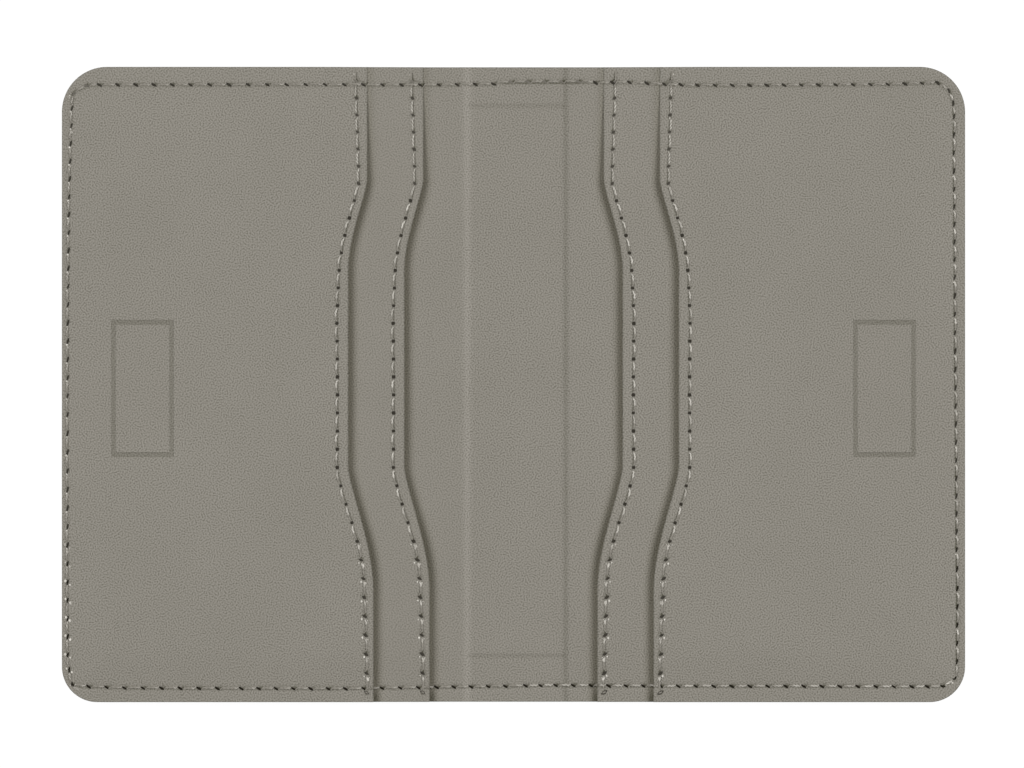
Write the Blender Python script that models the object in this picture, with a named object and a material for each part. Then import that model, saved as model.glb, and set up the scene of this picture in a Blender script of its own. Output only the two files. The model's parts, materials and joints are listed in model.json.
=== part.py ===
"""A two-fold card wallet lying open flat, inside up, as its separate sheets, boards, magnets and threads.

Sizes are in metres. X runs across the open wallet, Y up it, and Z from the outer cover to the inside.
The cover's outside lies at Z = 0, and X = Y = 0 is the middle of the wallet's outline.
Distances called "out" are measured from that middle towards a half's outer edge, so they serve both halves.
"""

import math

import bmesh
import bpy
from mathutils import Matrix, Vector

# The card that the pockets are cut for, and its play between the top and bottom seams
CARD_HEIGHT = 0.0856
CARD_PLAY = 0.00455

# Width of one half, from its fold to its outer edge, and the rounding of the outline
PANEL_WIDTH = 0.06016
TOP_CORNER_RADIUS = 0.00675
BOTTOM_CORNER_RADIUS = 0.0053

# The two folds, and how far the spine lies off the middle
FOLD_SPACING = 0.01468
SPINE_SHIFT = 0.0004

# Thickness of each sheet, and the air left between sheets
COVER_THICKNESS = 0.0008
BOARD_THICKNESS = 0.0005
LINING_THICKNESS = 0.0005
POCKET_THICKNESS = 0.0005
SHEET_GAP = 0.0002
BOND_GAP = 0.00015
SLOT_GAP = 0.00015
EDGE_SOFTENING = 0.00012

# How far each layer stays back from the fold line, so that the halves close past a right angle
COVER_SETBACK = 0.0015
LINING_SETBACK = 0.0021
PANEL_BOARD_SETBACK = 0.0016
SPINE_BOARD_SETBACK = 0.0010
CUT_GAP = 0.0003
FOLD_NOTCH_WIDTH = 0.0008
FOLD_NOTCH_DEPTH = 0.00015

# Stiffening boards, and the lines their ends press into the spine's lining
BOARD_TOP_MARGIN = 0.0058
BOARD_BOTTOM_MARGIN = 0.0068
BOARD_SIDE_MARGIN = 0.0040
BOARD_CORNER_RADIUS = 0.0015
BOARD_CLEARANCE = 0.0003
PRESSED_LINE_WIDTH = 0.0007
PRESSED_LINE_DEPTH = 0.00015

# Pocket mouths: the rear mouth's distance from the fold, how much further out its middle and top stretches lie,
# where the two bends turn off and where they have eased in, and how much further out the front mouth lies
MOUTH_FROM_FOLD = 0.00519
MOUTH_MIDDLE_RISE = 0.003755
MOUTH_TOP_RISE = 0.00094
LOWER_BEND_START = -0.0123
LOWER_BEND_END = -0.0308
UPPER_BEND_START = 0.0306
UPPER_BEND_END = 0.0170
FRONT_MOUTH_SPACING = 0.00838
BACKING_SETBACK = 0.0003

# Closing magnets in the front pockets, and the frame pressed into the leather round each
MAGNET_WIDTH = 0.0076
MAGNET_HEIGHT = 0.0187
MAGNET_THICKNESS = 0.0005
MAGNET_FROM_EDGE = 0.01208
MAGNET_DROP = 0.0006
MAGNET_CLEARANCE = 0.00015
FRAME_LINE_WIDTH = 0.00075
FRAME_LINE_DEPTH = 0.00015

# Seams
TOP_SEAM_INSET = 0.0026
BOTTOM_SEAM_INSET = 0.00225
LEFT_SEAM_INSET = 0.0011
RIGHT_SEAM_INSET = 0.0014
SEAM_TOP_RADIUS = 0.0025
SEAM_BOTTOM_RADIUS = 0.0015
MOUTH_SEAM_INSET = 0.0014
EDGE_STITCH = 0.0027
MOUTH_STITCH = 0.00265

# Thread: a row of beads, thin at each hole, lying flat on the leather or in the cover's groove
THREAD_WIDTH = 0.00042
THREAD_HEIGHT = 0.00026
THREAD_GAP = 0.0001
THREAD_END_GAP = 0.0004
RING_SPACING = 0.0001
GROOVE_WIDTH = 0.00068
GROOVE_DEPTH = 0.0004
CUT_OVERRUN = 0.001

# Proportions and counts
HOLE_SHARE = 0.45
BEAD_TOP_SHARE = 0.6
BEND_START_POWER = 1.35
BEND_END_POWER = 1.9
ARC_STEPS = 6
BEND_STEPS = 8
SHARP_ANGLE = math.radians(35)

# Places that follow from the sizes above
HALF_FOLDS = FOLD_SPACING / 2
HALF_WIDTH = HALF_FOLDS + PANEL_WIDTH
WALLET_HEIGHT = CARD_HEIGHT + CARD_PLAY + TOP_SEAM_INSET + BOTTOM_SEAM_INSET
TOP = WALLET_HEIGHT / 2
BOTTOM = -TOP
BOARD_END = TOP - BOARD_TOP_MARGIN
BOARD_START = BOTTOM + BOARD_BOTTOM_MARGIN
TOP_SEAM = TOP - TOP_SEAM_INSET
BOTTOM_SEAM = BOTTOM + BOTTOM_SEAM_INSET

# Heights of the layers, built up from the cover's outside
COVER_TOP = COVER_THICKNESS
FOLD_AXIS = COVER_THICKNESS / 2
BOARD_LOW = COVER_TOP + SHEET_GAP
BOARD_TOP = BOARD_LOW + BOARD_THICKNESS
LINING_LOW = BOARD_TOP + SHEET_GAP
LINING_TOP = LINING_LOW + LINING_THICKNESS
BACKING_THICKNESS = MAGNET_THICKNESS
REAR_BACKING_LOW = LINING_TOP + SLOT_GAP
REAR_BACKING_TOP = REAR_BACKING_LOW + BACKING_THICKNESS
REAR_POCKET_LOW = REAR_BACKING_TOP + BOND_GAP
REAR_POCKET_TOP = REAR_POCKET_LOW + POCKET_THICKNESS
FRONT_BACKING_LOW = REAR_POCKET_TOP + SLOT_GAP
FRONT_BACKING_TOP = FRONT_BACKING_LOW + BACKING_THICKNESS
FRONT_POCKET_LOW = FRONT_BACKING_TOP + BOND_GAP
FRONT_POCKET_TOP = FRONT_POCKET_LOW + POCKET_THICKNESS

SIDES = (("left", -1, LEFT_SEAM_INSET), ("right", 1, RIGHT_SEAM_INSET))


def clear_scene():
    for obj in list(bpy.data.objects):
        bpy.data.objects.remove(obj)


def finish(name, colour, roughness, metallic):
    """A plain material with one colour all over."""
    material = bpy.data.materials.new(name)
    material.use_nodes = True
    shader = material.node_tree.nodes["Principled BSDF"]
    shader.inputs["Base Color"].default_value = (*colour, 1.0)
    shader.inputs["Roughness"].default_value = roughness
    shader.inputs["Metallic"].default_value = metallic
    return material


def add_object(name, shape, material, carrier):
    """A named object from a bmesh, shaded smooth across its shallow angles and carried by an empty if given."""
    bmesh.ops.recalc_face_normals(shape, faces=shape.faces)
    mesh = bpy.data.meshes.new(name)
    shape.to_mesh(mesh)
    shape.free()
    mesh.shade_smooth()
    mesh.set_sharp_from_angle(angle=SHARP_ANGLE)
    if material:
        mesh.materials.append(material)
    obj = bpy.data.objects.new(name, mesh)
    bpy.context.scene.collection.objects.link(obj)
    if carrier:
        obj.parent = carrier
        obj.matrix_parent_inverse = Matrix.Translation(-carrier.location)
    return obj


def inset_points(points, inset):
    """A closed outline moved inwards by an even distance, mitred at its corners; it runs counterclockwise."""
    moved = []
    for before, here, after in zip(points[-1:] + points[:-1], points, points[1:] + points[:1]):
        enter = (Vector(here) - Vector(before)).normalized()
        leave = (Vector(after) - Vector(here)).normalized()
        normal = Vector((-enter.y - leave.y, enter.x + leave.x)).normalized()
        reach = inset / normal.dot(Vector((-enter.y, enter.x)))
        moved.append((here[0] + reach * normal.x, here[1] + reach * normal.y))
    return moved


def stacked_rings(rings):
    """A closed solid through rings of as many points each, capped at both ends."""
    shape = bmesh.new()
    loops = [[shape.verts.new(point) for point in ring] for ring in rings]
    for lower, upper in zip(loops, loops[1:]):
        for i in range(len(lower)):
            shape.faces.new((lower[i - 1], lower[i], upper[i], upper[i - 1]))
    shape.faces.new(loops[0][::-1])
    shape.faces.new(loops[-1])
    return shape


def sheet(name, points, low, high, material, carrier=None):
    """A flat sheet of one outline, its upper edge softened."""
    rings = [
        [(x, y, low) for x, y in points],
        [(x, y, high - EDGE_SOFTENING) for x, y in points],
        [(x, y, high) for x, y in inset_points(points, EDGE_SOFTENING)],
    ]
    return add_object(name, stacked_rings(rings), material, carrier)


def cut(obj, points, low, high):
    """Takes a straight-sided block of one outline out of an object."""
    block = stacked_rings([[(x, y, low) for x, y in points], [(x, y, high) for x, y in points]])
    subtract(obj, add_object(obj.name + "_cutter", block, None, None))


def subtract(obj, cutter):
    cutter.hide_render = True
    cutter.display_type = "WIRE"
    difference = obj.modifiers.new(cutter.name, "BOOLEAN")
    difference.operation = "DIFFERENCE"
    difference.solver = "EXACT"
    difference.object = cutter


def arc(centre_x, centre_y, radius, start):
    """A quarter turn of points, counterclockwise from the start angle."""
    turns = [start + math.pi / 2 * i / ARC_STEPS for i in range(ARC_STEPS + 1)]
    return [(centre_x + radius * math.cos(turn), centre_y + radius * math.sin(turn)) for turn in turns]


def rectangle(left, right, low, high):
    return [(left, low), (right, low), (right, high), (left, high)]


def outer_end(out, low, high, low_radius, high_radius):
    """The round corners of a half's outer end, as (out, y) points from the bottom corner to the top one."""
    return arc(out - low_radius, low + low_radius, low_radius, -math.pi / 2) + arc(
        out - high_radius, high - high_radius, high_radius, 0
    )


def placed(points, side):
    """Outline points given as (out, y), on the right half or mirrored to the left one, still counterclockwise."""
    return [(side * out, y) for out, y in points[::side]]


def fold_out(side):
    """Distance of a half's fold from the middle."""
    return HALF_FOLDS + side * SPINE_SHIFT


def panel_outline(side, setback):
    """Outline of a whole half: a straight edge by its fold and two round outer corners."""
    inner = fold_out(side) + setback
    end = outer_end(HALF_WIDTH, BOTTOM, TOP, BOTTOM_CORNER_RADIUS, TOP_CORNER_RADIUS)
    return placed([(inner, BOTTOM)] + end + [(inner, TOP)], side)


def bent(y, start, end):
    """0 before a bend's start and 1 past its end: it turns off rather sharply at the start and eases in at the end."""
    share = min(max((y - start) / (end - start), 0), 1)
    return 1 - (1 - share**BEND_START_POWER) ** BEND_END_POWER


def mouth_out(y, spacing):
    """Distance of a pocket's mouth from the middle at height y: two bends join three straight stretches."""
    out = HALF_FOLDS + MOUTH_FROM_FOLD + spacing
    out += MOUTH_MIDDLE_RISE * (1 - bent(y, LOWER_BEND_START, LOWER_BEND_END))
    return out - (MOUTH_MIDDLE_RISE - MOUTH_TOP_RISE) * (1 - bent(y, UPPER_BEND_START, UPPER_BEND_END))


def mouth_heights(low, high):
    """The heights at which a mouth line needs points, from low to high."""
    heights = [low]
    for below, above in ((LOWER_BEND_END, LOWER_BEND_START), (UPPER_BEND_END, UPPER_BEND_START)):
        heights += [below + (above - below) * i / BEND_STEPS for i in range(BEND_STEPS + 1)]
    return heights + [high]


def pocket_outline(side, spacing, setback):
    """Outline of a pocket sheet: the wallet's own outer edge, closed by the wavy mouth."""
    mouth = [(mouth_out(y, spacing) + setback, y) for y in mouth_heights(BOTTOM, TOP)]
    end = outer_end(HALF_WIDTH, BOTTOM, TOP, BOTTOM_CORNER_RADIUS, TOP_CORNER_RADIUS)
    return placed(end + mouth[::-1], side)


def magnet_outline(side, margin):
    """The magnet's rectangle, with an even margin round it."""
    out = HALF_WIDTH - MAGNET_FROM_EDGE
    half_width = MAGNET_WIDTH / 2 + margin
    half_height = MAGNET_HEIGHT / 2 + margin
    points = rectangle(out - half_width, out + half_width, -MAGNET_DROP - half_height, half_height - MAGNET_DROP)
    return placed(points, side)


def beaded(points, stitch):
    """Rings along a seam: each of its own points and each hole and stitch middle, with the thread's share there."""
    steps = [math.dist(a[:2], b[:2]) for a, b in zip(points, points[1:])]
    along = [sum(steps[:i]) for i in range(len(points))]
    half = along[-1] / max(round(along[-1] / stitch), 1) / 2
    stations = [half * i for i in range(round(along[-1] / half) + 1)]
    stations = [s for s in stations if min(abs(s - own) for own in along) > RING_SPACING]
    rings = []
    for station in sorted(stations + along):
        span = max(i for i in range(len(steps)) if along[i] <= station)
        share = (station - along[span]) / steps[span]
        place = Vector(points[span]).lerp(Vector(points[span + 1]), share)
        phase = abs((station / half + 1) % 2 - 1)
        rings.append((place, HOLE_SHARE + (1 - HOLE_SHARE) * phase))
    return rings


def swept(rings, up):
    """A solid along (place, half width below, half width above, height) rings that lie flat on their places."""
    places = [ring[0] for ring in rings]
    loops = []
    for i, (place, below, above, height) in enumerate(rings):
        ahead = places[min(i + 1, len(places) - 1)] - places[max(i - 1, 0)]
        across = Vector((-ahead.y, ahead.x, 0)).normalized()
        rise = Vector((0, 0, up * height))
        loops.append(
            [
                place - across * below,
                place + across * below,
                place + across * above + rise,
                place - across * above + rise,
            ]
        )
    return stacked_rings(loops)


def thread(name, points, stitch, material, carrier=None, up=1):
    """A seam's thread as one row of beads, resting on the given points and standing up, or down, from them."""
    rings = []
    for place, share in beaded(points, stitch):
        half = THREAD_WIDTH / 2 * share
        rings.append((place, half, half * BEAD_TOP_SHARE, THREAD_HEIGHT * share))
    return add_object(name, swept(rings, up), material, carrier)


def groove(obj, points):
    """Sinks a groove for the seam into the cover's outside, running out past both ends of the points."""
    half = GROOVE_WIDTH / 2
    rings = [(Vector((x, y, GROOVE_DEPTH)), half, half, GROOVE_DEPTH + CUT_OVERRUN) for x, y in points]
    subtract(obj, add_object(obj.name + "_groove_cutter", swept(rings, -1), None, None))


def edge_seam(side, inset, start):
    """The edge seam's line on one half as (x, y): out along the top, round two corners and back along the bottom."""
    end = outer_end(HALF_WIDTH - inset, BOTTOM_SEAM, TOP_SEAM, SEAM_BOTTOM_RADIUS, SEAM_TOP_RADIUS)
    line = [(start, TOP_SEAM)] + end[::-1] + [(start, BOTTOM_SEAM)]
    return [(side * out, y) for out, y in line]


def edge_seam_steps(side, y, start):
    """The seam's straight run at height y over the lining and up both pocket mouths, as (x, y, z) going out."""
    level = LINING_TOP
    run = [(start, level)]
    for spacing, upper in ((0, REAR_POCKET_TOP), (FRONT_MOUTH_SPACING, FRONT_POCKET_TOP)):
        edge = mouth_out(y, spacing) - CUT_GAP
        run += [(edge - THREAD_HEIGHT, level), (edge, upper)]
        level = upper
    return [(side * out, y, z + THREAD_GAP) for out, z in run]


def edge_thread_points(side, inset, start):
    """The edge seam on the inside, following the lining and the pocket faces."""
    corners = [(x, y, FRONT_POCKET_TOP + THREAD_GAP) for x, y in edge_seam(side, inset, start)[1:-1]]
    top = edge_seam_steps(side, TOP_SEAM, start)
    bottom = edge_seam_steps(side, BOTTOM_SEAM, start)
    return top + corners + bottom[::-1]


def mouth_seam_points(side, spacing, level):
    """The seam beside a pocket's mouth, ending short of the edge seam's thread."""
    clear = THREAD_WIDTH + THREAD_END_GAP
    heights = mouth_heights(BOTTOM_SEAM + clear, TOP_SEAM - clear)
    return [(side * (mouth_out(y, spacing) + MOUTH_SEAM_INSET), y, level + THREAD_GAP) for y in heights]


def fold_carrier(name, side):
    """An empty on a half's fold line, which carries all of that half."""
    carrier = bpy.data.objects.new(name + "_fold", None)
    carrier.location = (side * fold_out(side), 0, FOLD_AXIS)
    bpy.context.scene.collection.objects.link(carrier)
    return carrier


def build_pocket(name, side, spacing, backing_low, pocket_low, carrier):
    """One card pocket: its leather face, the backing behind it and the seam along its mouth."""
    pocket_top = pocket_low + POCKET_THICKNESS
    backing = sheet(
        name + "_backing",
        pocket_outline(side, spacing, BACKING_SETBACK),
        backing_low,
        backing_low + BACKING_THICKNESS,
        BACKING,
        carrier,
    )
    face = sheet(name + "_pocket", pocket_outline(side, spacing, 0), pocket_low, pocket_top, LEATHER, carrier)
    thread(name + "_mouth_thread", mouth_seam_points(side, spacing, pocket_top), MOUTH_STITCH, THREAD, carrier)
    return face, backing


def build_magnet(name, side, face, backing, carrier):
    """The magnet in its window in the front backing, and the frame pressed into the face over it."""
    window = magnet_outline(side, MAGNET_CLEARANCE)
    cut(backing, window, FRONT_BACKING_LOW - CUT_OVERRUN, FRONT_BACKING_TOP + CUT_OVERRUN)
    rings = [[(x, y, FRONT_BACKING_LOW + z) for x, y in magnet_outline(side, 0)] for z in (0, MAGNET_THICKNESS)]
    add_object(name + "_magnet", stacked_rings(rings), MAGNET, carrier)

    frame = bmesh.new()
    loops = []
    for margin in (MAGNET_CLEARANCE, MAGNET_CLEARANCE + FRAME_LINE_WIDTH):
        for z in (FRONT_POCKET_TOP - FRAME_LINE_DEPTH, FRONT_POCKET_TOP + CUT_OVERRUN):
            loops.append([frame.verts.new((x, y, z)) for x, y in magnet_outline(side, margin)])
    inner_low, inner_high, outer_low, outer_high = loops
    for a, b in ((inner_low, inner_high), (inner_high, outer_high), (outer_high, outer_low), (outer_low, inner_low)):
        for i in range(len(a)):
            frame.faces.new((a[i - 1], a[i], b[i], b[i - 1]))
    subtract(face, add_object(name + "_frame_cutter", frame, None, None))


def build_half(name, side, inset):
    """One half of the wallet, from its cover up to its front pocket, all carried at its fold."""
    carrier = fold_carrier(name, side)
    cover = sheet(name + "_cover", panel_outline(side, COVER_SETBACK), 0, COVER_TOP, LEATHER, carrier)
    groove(cover, edge_seam(side, inset, fold_out(side)))

    board_end = HALF_WIDTH - BOARD_SIDE_MARGIN
    corners = outer_end(board_end, BOARD_START, BOARD_END, BOARD_CORNER_RADIUS, BOARD_CORNER_RADIUS)
    inner = fold_out(side) + PANEL_BOARD_SETBACK
    board_points = placed([(inner, BOARD_START)] + corners + [(inner, BOARD_END)], side)
    sheet(name + "_board", board_points, BOARD_LOW, BOARD_TOP, BOARD, carrier)

    lining = sheet(name + "_lining", panel_outline(side, LINING_SETBACK), BOARD_LOW, LINING_TOP, LEATHER, carrier)
    room = rectangle(
        fold_out(side),
        board_end + BOARD_CLEARANCE,
        BOARD_START - BOARD_CLEARANCE,
        BOARD_END + BOARD_CLEARANCE,
    )
    cut(lining, placed(room, side), BOARD_LOW - CUT_OVERRUN, LINING_LOW)

    build_pocket(name + "_rear", side, 0, REAR_BACKING_LOW, REAR_POCKET_LOW, carrier)
    face, backing = build_pocket(
        name + "_front", side, FRONT_MOUTH_SPACING, FRONT_BACKING_LOW, FRONT_POCKET_LOW, carrier
    )
    build_magnet(name, side, face, backing, carrier)

    start = fold_out(side) + LINING_SETBACK + THREAD_END_GAP
    thread(name + "_edge_thread", edge_thread_points(side, inset, start), EDGE_STITCH, THREAD, carrier)
    start = fold_out(side) + COVER_SETBACK + THREAD_END_GAP
    bobbin = [(x, y, GROOVE_DEPTH - THREAD_GAP) for x, y in edge_seam(side, inset, start)]
    thread(name + "_edge_bobbin_thread", bobbin, EDGE_STITCH, THREAD, carrier, up=-1)


def fold_strip(name, side, half_width, low, high, notch):
    """The strip of sheet that bends at one fold, with a shallow notch along the line it bends on."""
    fold = side * fold_out(side)
    half_notch = FOLD_NOTCH_WIDTH / 2
    across = (
        (-half_width, low),
        (half_width, low),
        (half_width, high),
        (half_notch, high),
        (0, high - notch),
        (-half_notch, high),
        (-half_width, high),
    )
    rings = [[(fold + x, y, z) for x, z in across] for y in (BOTTOM, TOP)]
    return add_object(name, stacked_rings(rings), LEATHER, None)


def build_spine():
    """The strip between the folds: cover, board and lining, the four fold strips, and its share of the edge seam."""
    left_fold = -fold_out(-1)
    right_fold = fold_out(1)

    def between(setback, low, high):
        return rectangle(left_fold + setback, right_fold - setback, low, high)

    cover = sheet("spine_cover", between(COVER_SETBACK, BOTTOM, TOP), 0, COVER_TOP, LEATHER)
    sheet("spine_board", between(SPINE_BOARD_SETBACK, BOARD_START, BOARD_END), BOARD_LOW, BOARD_TOP, BOARD)
    lining = sheet("spine_lining", between(LINING_SETBACK, BOTTOM, TOP), BOARD_LOW, LINING_TOP, LEATHER)
    room = between(-LINING_SETBACK, BOARD_START - BOARD_CLEARANCE, BOARD_END + BOARD_CLEARANCE)
    cut(lining, room, BOARD_LOW - CUT_OVERRUN, LINING_LOW)
    for y in (BOARD_START, BOARD_END):
        line = between(0, y - PRESSED_LINE_WIDTH / 2, y + PRESSED_LINE_WIDTH / 2)
        cut(lining, line, LINING_TOP - PRESSED_LINE_DEPTH, LINING_TOP + CUT_OVERRUN)

    for name, side, _ in SIDES:
        fold_strip(name + "_cover_crease", side, COVER_SETBACK - CUT_GAP, 0, COVER_TOP, FOLD_NOTCH_DEPTH)
        strip = fold_strip(
            name + "_lining_crease", side, LINING_SETBACK - CUT_GAP, BOARD_LOW, LINING_TOP, FOLD_NOTCH_DEPTH
        )
        cut(strip, room, BOARD_LOW - CUT_OVERRUN, LINING_LOW)

    for name, y in (("spine_top", TOP_SEAM), ("spine_bottom", BOTTOM_SEAM)):
        inside = [
            (x, y, LINING_TOP + THREAD_GAP)
            for x in (left_fold + LINING_SETBACK + THREAD_END_GAP, right_fold - LINING_SETBACK - THREAD_END_GAP)
        ]
        thread(name + "_thread", inside, EDGE_STITCH, THREAD)
        groove(cover, [(left_fold, y), (right_fold, y)])
        outside = [
            (x, y, GROOVE_DEPTH - THREAD_GAP)
            for x in (left_fold + COVER_SETBACK + THREAD_END_GAP, right_fold - COVER_SETBACK - THREAD_END_GAP)
        ]
        thread(name + "_bobbin_thread", outside, EDGE_STITCH, THREAD, up=-1)


clear_scene()
LEATHER = finish("pebbled_leather", (0.261, 0.245, 0.211), 0.6, 0.0)
THREAD = finish("sewing_thread", (0.43, 0.40, 0.34), 0.7, 0.0)
BOARD = finish("grey_board", (0.32, 0.30, 0.27), 0.9, 0.0)
BACKING = finish("backing_cloth", (0.09, 0.085, 0.075), 0.9, 0.0)
MAGNET = finish("coated_magnet", (0.30, 0.30, 0.31), 0.35, 1.0)
build_spine()
for side_name, side_sign, seam_inset in SIDES:
    build_half(side_name, side_sign, seam_inset)
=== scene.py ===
import json
import math

import bpy
import numpy as np
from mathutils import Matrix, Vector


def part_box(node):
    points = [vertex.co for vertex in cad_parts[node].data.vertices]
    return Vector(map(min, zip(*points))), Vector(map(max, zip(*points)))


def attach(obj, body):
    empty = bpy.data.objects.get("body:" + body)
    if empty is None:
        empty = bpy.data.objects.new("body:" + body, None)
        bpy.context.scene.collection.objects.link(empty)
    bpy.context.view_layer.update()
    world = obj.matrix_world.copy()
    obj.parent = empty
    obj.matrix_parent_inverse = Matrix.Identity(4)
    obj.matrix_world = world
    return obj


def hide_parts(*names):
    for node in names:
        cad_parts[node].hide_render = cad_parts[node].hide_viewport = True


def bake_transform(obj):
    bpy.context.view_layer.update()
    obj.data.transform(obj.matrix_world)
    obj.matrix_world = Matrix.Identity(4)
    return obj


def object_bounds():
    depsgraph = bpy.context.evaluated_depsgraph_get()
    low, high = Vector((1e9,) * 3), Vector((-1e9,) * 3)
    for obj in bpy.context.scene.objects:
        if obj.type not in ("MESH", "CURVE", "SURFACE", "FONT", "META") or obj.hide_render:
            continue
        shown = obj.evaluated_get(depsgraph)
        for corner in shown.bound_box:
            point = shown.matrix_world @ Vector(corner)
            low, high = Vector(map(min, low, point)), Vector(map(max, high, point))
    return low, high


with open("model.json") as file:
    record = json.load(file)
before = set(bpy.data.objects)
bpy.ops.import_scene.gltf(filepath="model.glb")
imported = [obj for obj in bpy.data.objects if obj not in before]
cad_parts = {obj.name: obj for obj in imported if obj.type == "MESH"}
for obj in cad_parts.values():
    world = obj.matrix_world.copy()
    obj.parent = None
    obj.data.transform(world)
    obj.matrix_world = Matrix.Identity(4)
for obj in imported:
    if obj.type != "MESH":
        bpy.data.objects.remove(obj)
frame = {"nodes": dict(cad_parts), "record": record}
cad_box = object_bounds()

# Stiffening boards
# Three pieces of grey bookbinding board, one in the spine and one in each half, cut square and laid loose
# between the cover and the lining. Each is the solid of the frame, with the speckle of pressed paper fibre.

MM = 0.001
BOARD_COLOUR = (0.32, 0.30, 0.27, 1)
BOARD_SPECK_COLOUR = (0.22, 0.20, 0.175, 1)
BOARD_CLOUD_SCALE = 160
BOARD_FIBRE_SCALE = 2400
BOARD_FIBRE_DEPTH = 0.03 * MM


class Link:
    """An output of a node in a material. Its arithmetic adds Math nodes, and node() adds any other node."""

    def __init__(self, tree, socket=None):
        self.tree = tree
        self.socket = socket

    def node(self, kind, sockets, output=0, **settings):
        made = self.tree.nodes.new(kind)
        for setting, value in settings.items():
            setattr(made, setting, value)
        for key, value in sockets.items():
            if isinstance(value, Link):
                self.tree.links.new(value.socket, made.inputs[key])
            else:
                made.inputs[key].default_value = value
        return Link(self.tree, made.outputs[output])

    def math(self, operation, first, second):
        return self.node("ShaderNodeMath", {0: first, 1: second}, operation=operation)

    def __add__(self, other):
        return self.math("ADD", self, other)

    def __sub__(self, other):
        return self.math("SUBTRACT", self, other)

    def __rsub__(self, other):
        return self.math("SUBTRACT", other, self)

    def __mul__(self, other):
        return self.math("MULTIPLY", self, other)

    __radd__ = __add__
    __rmul__ = __mul__

    def ramp(self, start, end):
        """0 below start and 1 above end, with a smooth step between."""
        limits = {"Value": self, "From Min": start, "From Max": end}
        return self.node("ShaderNodeMapRange", limits, interpolation_type="SMOOTHSTEP")

    def mixed(self, low, high):
        """The low colour where this is 0 and the high one where it is 1."""
        return self.node("ShaderNodeMix", {0: self, 6: low, 7: high}, output=2, data_type="RGBA")

    def scaled(self, share):
        """This colour or vector times a number."""
        return self.node("ShaderNodeVectorMath", {0: self, "Scale": share}, operation="SCALE")

    def times(self, other):
        """This colour or vector times another one, axis by axis."""
        return self.node("ShaderNodeVectorMath", {0: self, 1: other}, operation="MULTIPLY")

    def noise(self, scale, detail):
        """Noise from 0 to 1 over these places."""
        return self.node("ShaderNodeTexNoise", {"Vector": self, "Scale": scale, "Detail": detail})


def new_material(name, roughness, specular=0.5, metallic=0.0):
    """A material, the start of its expressions, and its shader, whose constant values are set here."""
    material = bpy.data.materials.new(name)
    material.use_nodes = True
    shader = material.node_tree.nodes["Principled BSDF"]
    shader.inputs["Roughness"].default_value = roughness
    shader.inputs["Specular IOR Level"].default_value = specular
    shader.inputs["Metallic"].default_value = metallic
    return material, Link(material.node_tree), shader


def feed(shader, name, link):
    """Leads a link into one of a shader's inputs."""
    link.tree.links.new(link.socket, shader.inputs[name])


def roughen(shader, height, depth):
    """Makes a shader's surface rise and fall by this depth where the height goes from 0 to 1."""
    bump = {"Distance": depth, "Height": height}
    feed(shader, "Normal", height.node("ShaderNodeBump", bump, output="Normal"))


def grey_board():
    """Grey paper board: two sizes of noise, the finer one as single darker fibres."""
    material, start, shader = new_material("grey_board", roughness=0.9, specular=0.2)
    place = start.node("ShaderNodeTexCoord", {}, output="Object")
    cloud = place.noise(BOARD_CLOUD_SCALE, 3.0)
    fibre = place.noise(BOARD_FIBRE_SCALE, 2.0)
    speck = fibre.ramp(0.55, 0.7) + cloud.ramp(0.3, 0.8) * 0.25
    feed(shader, "Base Color", speck.mixed(BOARD_COLOUR, BOARD_SPECK_COLOUR))
    roughen(shader, fibre, BOARD_FIBRE_DEPTH)
    return material


def dress(node, material):
    """Gives a solid of the frame its finish."""
    frame["nodes"][node].data.materials.clear()
    frame["nodes"][node].data.materials.append(material)


GREY_BOARD = grey_board()
for board_name in ("spine_board", "left_board", "right_board"):
    dress(board_name, GREY_BOARD)

# Outer cover
# One sheet of pebbled imitation leather round the outside, folded at both edges of the spine. It is made here
# as two halves that meet on the spine's middle, one for each fold.

HALF_WIDTH = cad_box[1].x
OUTLINE_TRIM = 0.025 * MM
TOP = cad_box[1].y - OUTLINE_TRIM
TOP_CORNER = 6.75 * MM
BOTTOM_CORNER = 5.3 * MM
FOLDS = {joint["name"]: joint["pos_m"][0] for joint in frame["record"]["behaviour"]["joints"]}
LEFT_FOLD = FOLDS["left_fold"]
RIGHT_FOLD = FOLDS["right_fold"]
SPINE_MIDDLE = (LEFT_FOLD + RIGHT_FOLD) / 2
BEND_REACH = 4.0 * MM
CUT_EDGE = 0.02 * MM
COVER_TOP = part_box("left_cover")[1][2]

RIM = 0.16 * MM
COVER_INNER_RIM = 0.10 * MM
COVER_CREASE_DEPTH = 0.08 * MM
COVER_CREASE_REACH = 0.5 * MM
COVER_STEP = 0.7 * MM
GRID_STEP = 0.45 * MM
FINE_STEP = 0.09 * MM
SAME_PLACE = 0.012 * MM
SHARP_ANGLE = math.radians(50)
CORNER_KEEP = 4 * MM
CORNER_FADE = 16 * MM

LEATHER_COLOUR = (0.2748, 0.2565, 0.2209, 1)
EDGE_COLOUR = (0.130, 0.120, 0.100, 1)
# The browner colour that the painted shadows along the mouths' feet take on.
SHADOW_TINT_COLOUR = (0.2748, 0.2515, 0.198, 1)
GRAIN_SCALE = 1720
GRAIN_FREQUENCY = 1.5
GRAIN_FLECK_SCALE = 5200
GRAIN_CLOUD_SCALE = 90
NET_AVERAGE = 0.6
PIT_DEPTH = 0.03 * MM
SHADE_TINT = (-1.0, -1.0, -1.10)

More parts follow.
